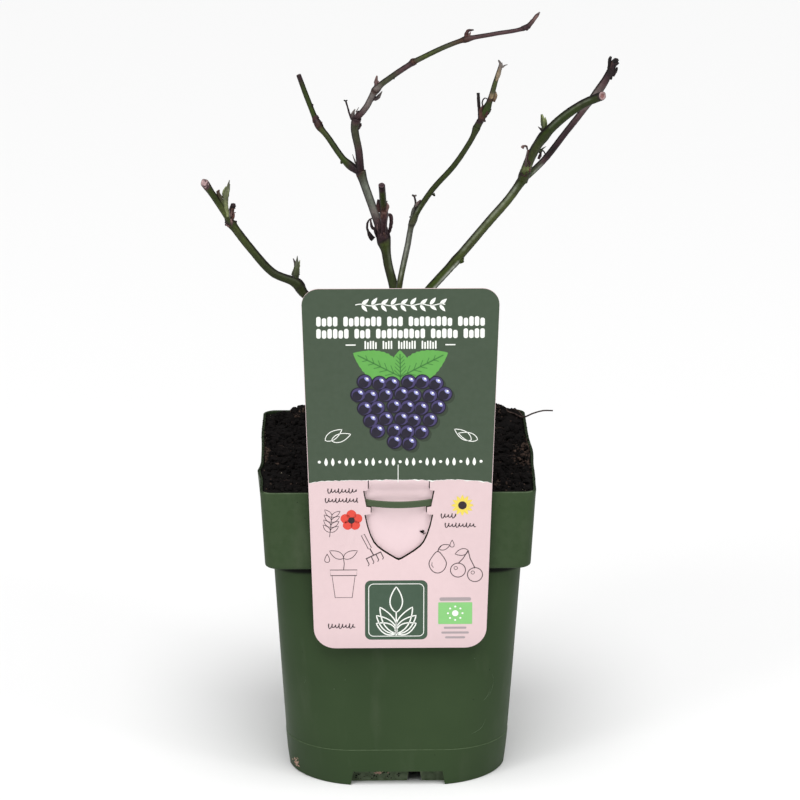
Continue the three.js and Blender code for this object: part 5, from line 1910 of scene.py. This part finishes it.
def turned(x, y, spots, turn):
    """Spots round (0, 0), turned and moved to (x, y)."""
    cos, sin = math.cos(turn), math.sin(turn)
    return [(x + u * cos - v * sin, y + u * sin + v * cos) for u, v in spots]


def disc(x, y, radius, steps=28, flat=1.0, turn=0.0):
    angles = [2 * math.pi * step / steps for step in range(steps)]
    return turned(x, y, [(radius * math.cos(a), radius * flat * math.sin(a)) for a in angles], turn)


def leaf_outline(x, y, length, width, heading, steps=16, teeth=0.0):
    """A pointed leaf from its foot at (x, y), with optional small teeth."""
    right = []
    for step in range(steps + 1):
        share = step / steps
        half = width / 2 * math.sin(math.pi * share ** 0.8) ** 0.85 if 0 < share < 1 else 0
        half *= 1 + (teeth if step % 2 else 0)
        right.append((share * length, half))
    outline = [*right, *((u, -v) for u, v in reversed(right[1:-1]))]
    return turned(x, y, outline, math.radians(heading))


def rounded_tile(x, y, width, height, radius):
    right, top = width / 2 - radius, height / 2 - radius
    corners = ((right, top, 0), (-right, top, 90), (-right, -top, 180), (right, -top, 270))
    return [spot for u, v, start in corners for spot in arc(x + u, y + v, radius, start, start + 90)]


def bar(x, y, width, height):
    return rounded_tile(x, y, width, height, min(width, height) * 0.45)


def make_panel(green, white):
    outline = card_outline(0.04)
    upper = [(x, y) for x, y in outline if y > TONGUE_HINGE]
    edge_x = LABEL_FOOT_WIDTH / 2 + (LABEL_TOP_WIDTH - LABEL_FOOT_WIDTH) / 2 * 0.47 - 0.3
    across = [CARD_SHIFT - edge_x + 2 * edge_x * step / PANEL_STEPS for step in range(PANEL_STEPS + 1)]
    foot = [(x, panel_foot(x)) for x in across]
    print_shapes("green_panel", [[*upper, *foot]], green, 1)
    ragged = []
    for (x0, y0), (x1, y1) in zip(foot, foot[1:]):
        depth = [0.12 + max(0.75 * noise.noise(Vector((x * 0.35, 2, 5))), 0) for x in (x0, x1)]
        ragged.append([(x0, y0 - depth[0]), (x1, y1 - depth[1]), (x1, y1 + 0.02), (x0, y0 + 0.02)])
    print_shapes("torn_edge", ragged, white, 1)
    print_shapes("fold_line", [rounded_tile(-0.3, 12.4, 0.3, 7.6, 0.14)], white, 2)


def make_title_print(white):
    """Plain white ornaments where such cards carry their wording: a leafy garland and bars."""
    shapes = []
    for step in range(9):
        x = -14.5 + step * 3.8
        shapes.append(leaf_outline(x, 82.8, 3.6, 1.5, 52 if step % 2 else 40))
        shapes.append(leaf_outline(x, 82.6, 3.4, 1.4, -40 if step % 2 else -52))
    garland = [(-17 + step, 82.7 + 0.35 * math.sin(step * 0.8)) for step in range(36)]
    shapes.extend(line_shapes(garland, 0.4))
    for y, height, peg, groups in TITLE_ROWS:
        total = sum(groups) * (peg + PEG_GAP) + (len(groups) - 1) * GROUP_GAP - PEG_GAP
        x = CARD_SHIFT - total / 2
        for count in groups:
            for number in range(count):
                lift = 0.3 * height * (number % 3 == 1)
                shapes.append(bar(x + peg / 2, y - lift / 4, peg, height - lift / 2))
                x += peg + PEG_GAP
            x += GROUP_GAP
    for side in (-1, 1):
        shapes.append(bar(CARD_SHIFT + side * 19.5, 66.2, 4, 0.5))
    for step in range(25):
        x = -31.4 + step * 2.66
        leaf = leaf_outline(x, 17.4 - 3.4 / 2, 3.4, 1.35, 90)
        shapes.append(leaf if step % 3 else disc(x, 17.4, 0.62, 14))
    for x, heading in ((-29, 35), (-26.5, 20), (28.5, 145), (31, 160)):
        shapes.extend(loop_shapes(leaf_outline(x, 25 + abs(x) * 0.05, 8, 3.4, heading), 0.32))
    print_shapes("white_ornaments", shapes, white, 2)


def make_fruit_print(inks):
    """A hanging bunch of plain round berries under three leaves."""
    berries = []
    for y, count, shift in BERRY_ROWS:
        for place in range(count):
            x = CARD_SHIFT + shift + (place - (count - 1) / 2) * BERRY_SPACING
            berries.append((x + 0.5 * math.sin(y + place * 2.3), y + 0.5 * math.cos(place * 1.7 + y)))
    shadows = [disc(x + 0.9, y - 0.9, BERRY_RADIUS) for x, y in berries]
    print_shapes("berry_shadows", shadows, inks["shadow"], 2)
    leaves = [leaf_outline(0.6, 53, 21, 12, heading, 22, 0.05) for heading in (152, 28)]
    print_shapes("leaf_blades", leaves, inks["leaf"], 2.4)
    print_shapes("middle_leaf", [leaf_outline(0.6, 51.5, 12.5, 8, 91, 18, 0.05)], inks["leaf"], 3)
    veins = []
    for heading, length in ((152, 19), (28, 19), (91, 11)):
        turn = math.radians(heading)
        foot = Vector((0.6, 53 if heading != 91 else 51.5))
        along = Vector((math.cos(turn), math.sin(turn)))
        veins.extend(line_shapes([foot, foot + along * length], 0.45))
        for step in range(1, 6):
            start = foot + along * (length * step / 6.5)
            for lean in (-42, 42):
                turn_vein = math.radians(heading + lean)
                tip = start + Vector((math.cos(turn_vein), math.sin(turn_vein))) * (3.9 - 0.35 * step)
                veins.extend(line_shapes([start, tip], 0.28))
    print_shapes("leaf_veins", veins, inks["vein"], 4)
    for layer, (name, tint, right, up, share, *form) in enumerate(BERRY_LAYERS, 5):
        discs = [disc(x + right, y + up, BERRY_RADIUS * share, *form) for x, y in berries]
        print_shapes(name, discs, inks[tint], layer)


def make_garden_print(inks):
    """Simple garden drawings on the pink half of the card."""
    lines = []
    for squiggle in SQUIGGLES:
        lines.extend(wave_lines(*squiggle))
    lines.extend(sprig_lines(-27.5, -14.5, 84, 0.9))
    lines.extend(rake_lines(-11.5, -20.5))
    lines.extend(seedling_pot_lines(-22, -36))
    lines.extend(pear_lines(15.5, -25.5, 4.4))
    lines.extend(cherry_lines(27, -26.5))
    lines.extend(drop_lines(-28.5, -23.5, 2.6))
    lines.extend(drop_lines(21.2, -17.5, 2.2))
    print_shapes("garden_drawings", lines, inks["pencil"], 1)
    petals = [disc(*spot, 1.95, 22) for spot, _ in wheel(*RED_FLOWER, 2.5, 5, 90)]
    print_shapes("red_petals", petals, inks["red"], 2)
    print_shapes("red_flower_heart", [disc(*RED_FLOWER, 1.35, 20)], inks["black"], 3)
    rays = [
        leaf_outline(*spot, 3.1, 1.4, math.degrees(turn), 8)
        for spot, turn in wheel(*YELLOW_FLOWER, 1.4, 12)
    ]
    print_shapes("yellow_rays", rays, inks["yellow"], 2)
    print_shapes("yellow_flower_heart", [disc(*YELLOW_FLOWER, 1.7, 22)], inks["black"], 3)
    make_dark_tile(inks)
    print_shapes("light_tile", [rounded_tile(*LIGHT_TILE, 13.6, 9.4, 0.3)], inks["light green"], 1)
    dots = [disc(*spot, 0.42, 10) for spot, _ in wheel(*LIGHT_TILE, 2.9, 8)]
    dots.append(disc(*LIGHT_TILE, 1.3, 20))
    print_shapes("light_tile_daisy", dots, inks["white"], 2)
    notes = [bar(LIGHT_TILE[0], y, width, height) for y, width, height in NOTES]
    print_shapes("grey_bars", notes, inks["grey"], 1)


def wheel(x, y, radius, count, start=0):
    """Spots evenly round a middle, each with its angle."""
    angles = [math.radians(start + 360 // count * number) for number in range(count)]
    return [((x + radius * math.cos(a), y + radius * math.sin(a)), a) for a in angles]


def make_dark_tile(inks):
    """A leafy sprig in a frame on a dark tile."""
    x, y = DARK_TILE
    print_shapes("dark_tile", [rounded_tile(x, y, 25, 25.6, 2.4)], inks["tile"], 1)
    leaves = [
        leaf_outline(x, y - 10, 9 + 2 * row, 4.6, 90 + side * (62 - 16 * row), 16)
        for row in range(3) for side in (-1, 1)
    ]
    leaves.append(leaf_outline(x, y - 1, 11, 5, 90, 16))
    lines = [quad for leaf in leaves for quad in loop_shapes(leaf, 0.5)]
    lines.extend(line_shapes([(x, y - 11), (x, y - 1)], 0.5))
    lines.extend(loop_shapes(rounded_tile(x, y, 22, 22.6, 2), 0.3))
    print_shapes("dark_tile_sprig", lines, inks["white"], 2)


def sprig_lines(x, y, heading, scale=1.0):
    along = Vector((math.cos(math.radians(heading)), math.sin(math.radians(heading))))
    foot = Vector((x, y))
    lines = line_shapes([foot, foot + along * 11 * scale], 0.28)
    for step in range(1, 5):
        start = foot + along * (2.4 * step * scale)
        for side in (-48, 48):
            leaf = leaf_outline(start.x, start.y, 4.6 * scale, 1.9 * scale, heading + side, 10)
            lines.extend(loop_shapes(leaf, 0.24))
    return lines


def wave_lines(x, y, length, height):
    """A pen squiggle from left to right."""
    steps = round(length * 5)
    path = []
    for step in range(steps + 1):
        swing = math.sin(step * 0.9) * (0.75 + 0.25 * math.sin(step * 0.31))
        path.append((x + length * step / steps + 0.35 * math.sin(step * 0.9 + 1), y + height * swing))
    return line_shapes(path, 0.42)


def rake_lines(x, y):
    """A small hand rake, drawn in outline."""
    handle = [(x - 3.4, y + 6.6), (x - 2.2, y + 7.2), (x + 0.6, y + 1.4), (x - 0.6, y + 0.8)]
    lines = loop_shapes(handle, 0.3)
    lines += line_shapes([(x, y + 1), (x + 1.6, y - 2)], 0.45)
    lines += line_shapes([(x - 1.6, y - 3.4), (x + 4.4, y - 0.4)], 0.45)
    for tine in range(4):
        u, v = x - 1.4 + 1.9 * tine, y - 3.3 + 0.95 * tine
        lines += line_shapes([(u, v), (u + 1.1, v - 2.4), (u + 0.7, v - 3.2)], 0.36)
    return lines


def pear_lines(x, y, size):
    outline = []
    for step in range(36):
        angle = 2 * math.pi * step / 36
        narrow = 1 - 0.42 * smoothstep(-0.2, 1, math.sin(angle))
        outline.append((x + size * 0.8 * narrow * math.cos(angle), y + size * 1.05 * math.sin(angle)))
    lines = loop_shapes(outline, 0.34)
    lines += line_shapes([(x, y + size), (x + 0.4, y + size * 1.35), (x + 1.4, y + size * 1.6)], 0.4)
    lines += loop_shapes(leaf_outline(x + 0.5, y + size * 1.3, 4.6, 2.2, 20, 12), 0.3)
    shine = [(x - size * 0.5, y), (x - size * 0.54, y - 1.3), (x - size * 0.38, y - 2.3)]
    lines += line_shapes(shine, 0.24)
    return lines


def cherry_lines(x, y):
    """Two cherries on their stalks under a leaf, drawn in outline."""
    lines = []
    for side in (-1, 1):
        foot_x = x + side * 3.4
        foot_y = y - 3.4 - side
        lines += loop_shapes(disc(foot_x, foot_y, 3, 30), 0.34)
        lines += loop_shapes(disc(foot_x - 0.9, foot_y + 0.9, 0.7, 10), 0.22)
        stalk = [(foot_x, foot_y + 2.8), (x + side * 1.4, y + 2.6), (x + 0.6, y + 6)]
        lines += line_shapes(stalk, 0.36)
    return lines + loop_shapes(leaf_outline(x + 0.6, y + 6, 5.4, 2.8, 196, 12), 0.3)


def drop_lines(x, y, size):
    outline = []
    for step in range(20):
        angle = 2 * math.pi * step / 20
        pinch = math.sin(angle / 2) ** 1.5
        outline.append((x + size * 0.55 * math.sin(angle) * pinch, y + size * 0.7 * math.cos(angle)))
    return loop_shapes(outline, 0.26)


def seedling_pot_lines(x, y):
    """A flowerpot drawn in outline with a two-leaved seedling."""
    body = [(x - 4.6, y + 5), (x + 4.6, y + 5), (x + 3.4, y - 4.5), (x - 3.4, y - 4.5)]
    rim = [(x - 5.4, y + 7.4), (x + 5.4, y + 7.4), (x + 5.2, y + 5), (x - 5.2, y + 5)]
    lines = loop_shapes(body, 0.3) + loop_shapes(rim, 0.3)
    lines += line_shapes([(x, y + 7.4), (x + 0.3, y + 10), (x, y + 12.6)], 0.3)
    for heading in (30, 150):
        lines += loop_shapes(leaf_outline(x, y + 12.4, 6.4, 3, heading, 12), 0.28)
    return lines


def make_label(dirt):
    inks = {}
    for name, values in INKS.items():
        roughness = GLOSSY_ROUGHNESS if name in GLOSSY_INKS else PLAIN_ROUGHNESS
        inks[name] = ink(f"{name} ink", values, roughness)
    make_card(ink("card", CARD_COLOUR))
    # The tongue's card is painted lighter against the shade it sits in
    make_tongue(ink("lightened tongue card", TONGUE_LIGHTENED_COLOUR), dirt)
    make_panel(inks["panel"], inks["white"])
    make_title_print(inks["white"])
    make_fruit_print(inks)
    make_garden_print(inks)


def main():
    make_stage()
    make_camera()
    make_pot(pot_plastic("pot plastic", POT_SHADES, lit_and_soiled=True))
    # The strap's plastic is painted lighter, as light on its bowed face
    make_bridge(pot_plastic("lightened strap plastic", STRAP_LIT_SHADES))
    dark = soil_matter("moist soil")
    make_soil(dark, soil_matter("brown peat"), soil_matter("pale grit"), soil_matter("root fibre"))
    make_pot_dirt(dark, soil_matter("clay smear"), soil_matter("pale scuff", 0.6))
    make_canes()
    make_label(dark)


main()
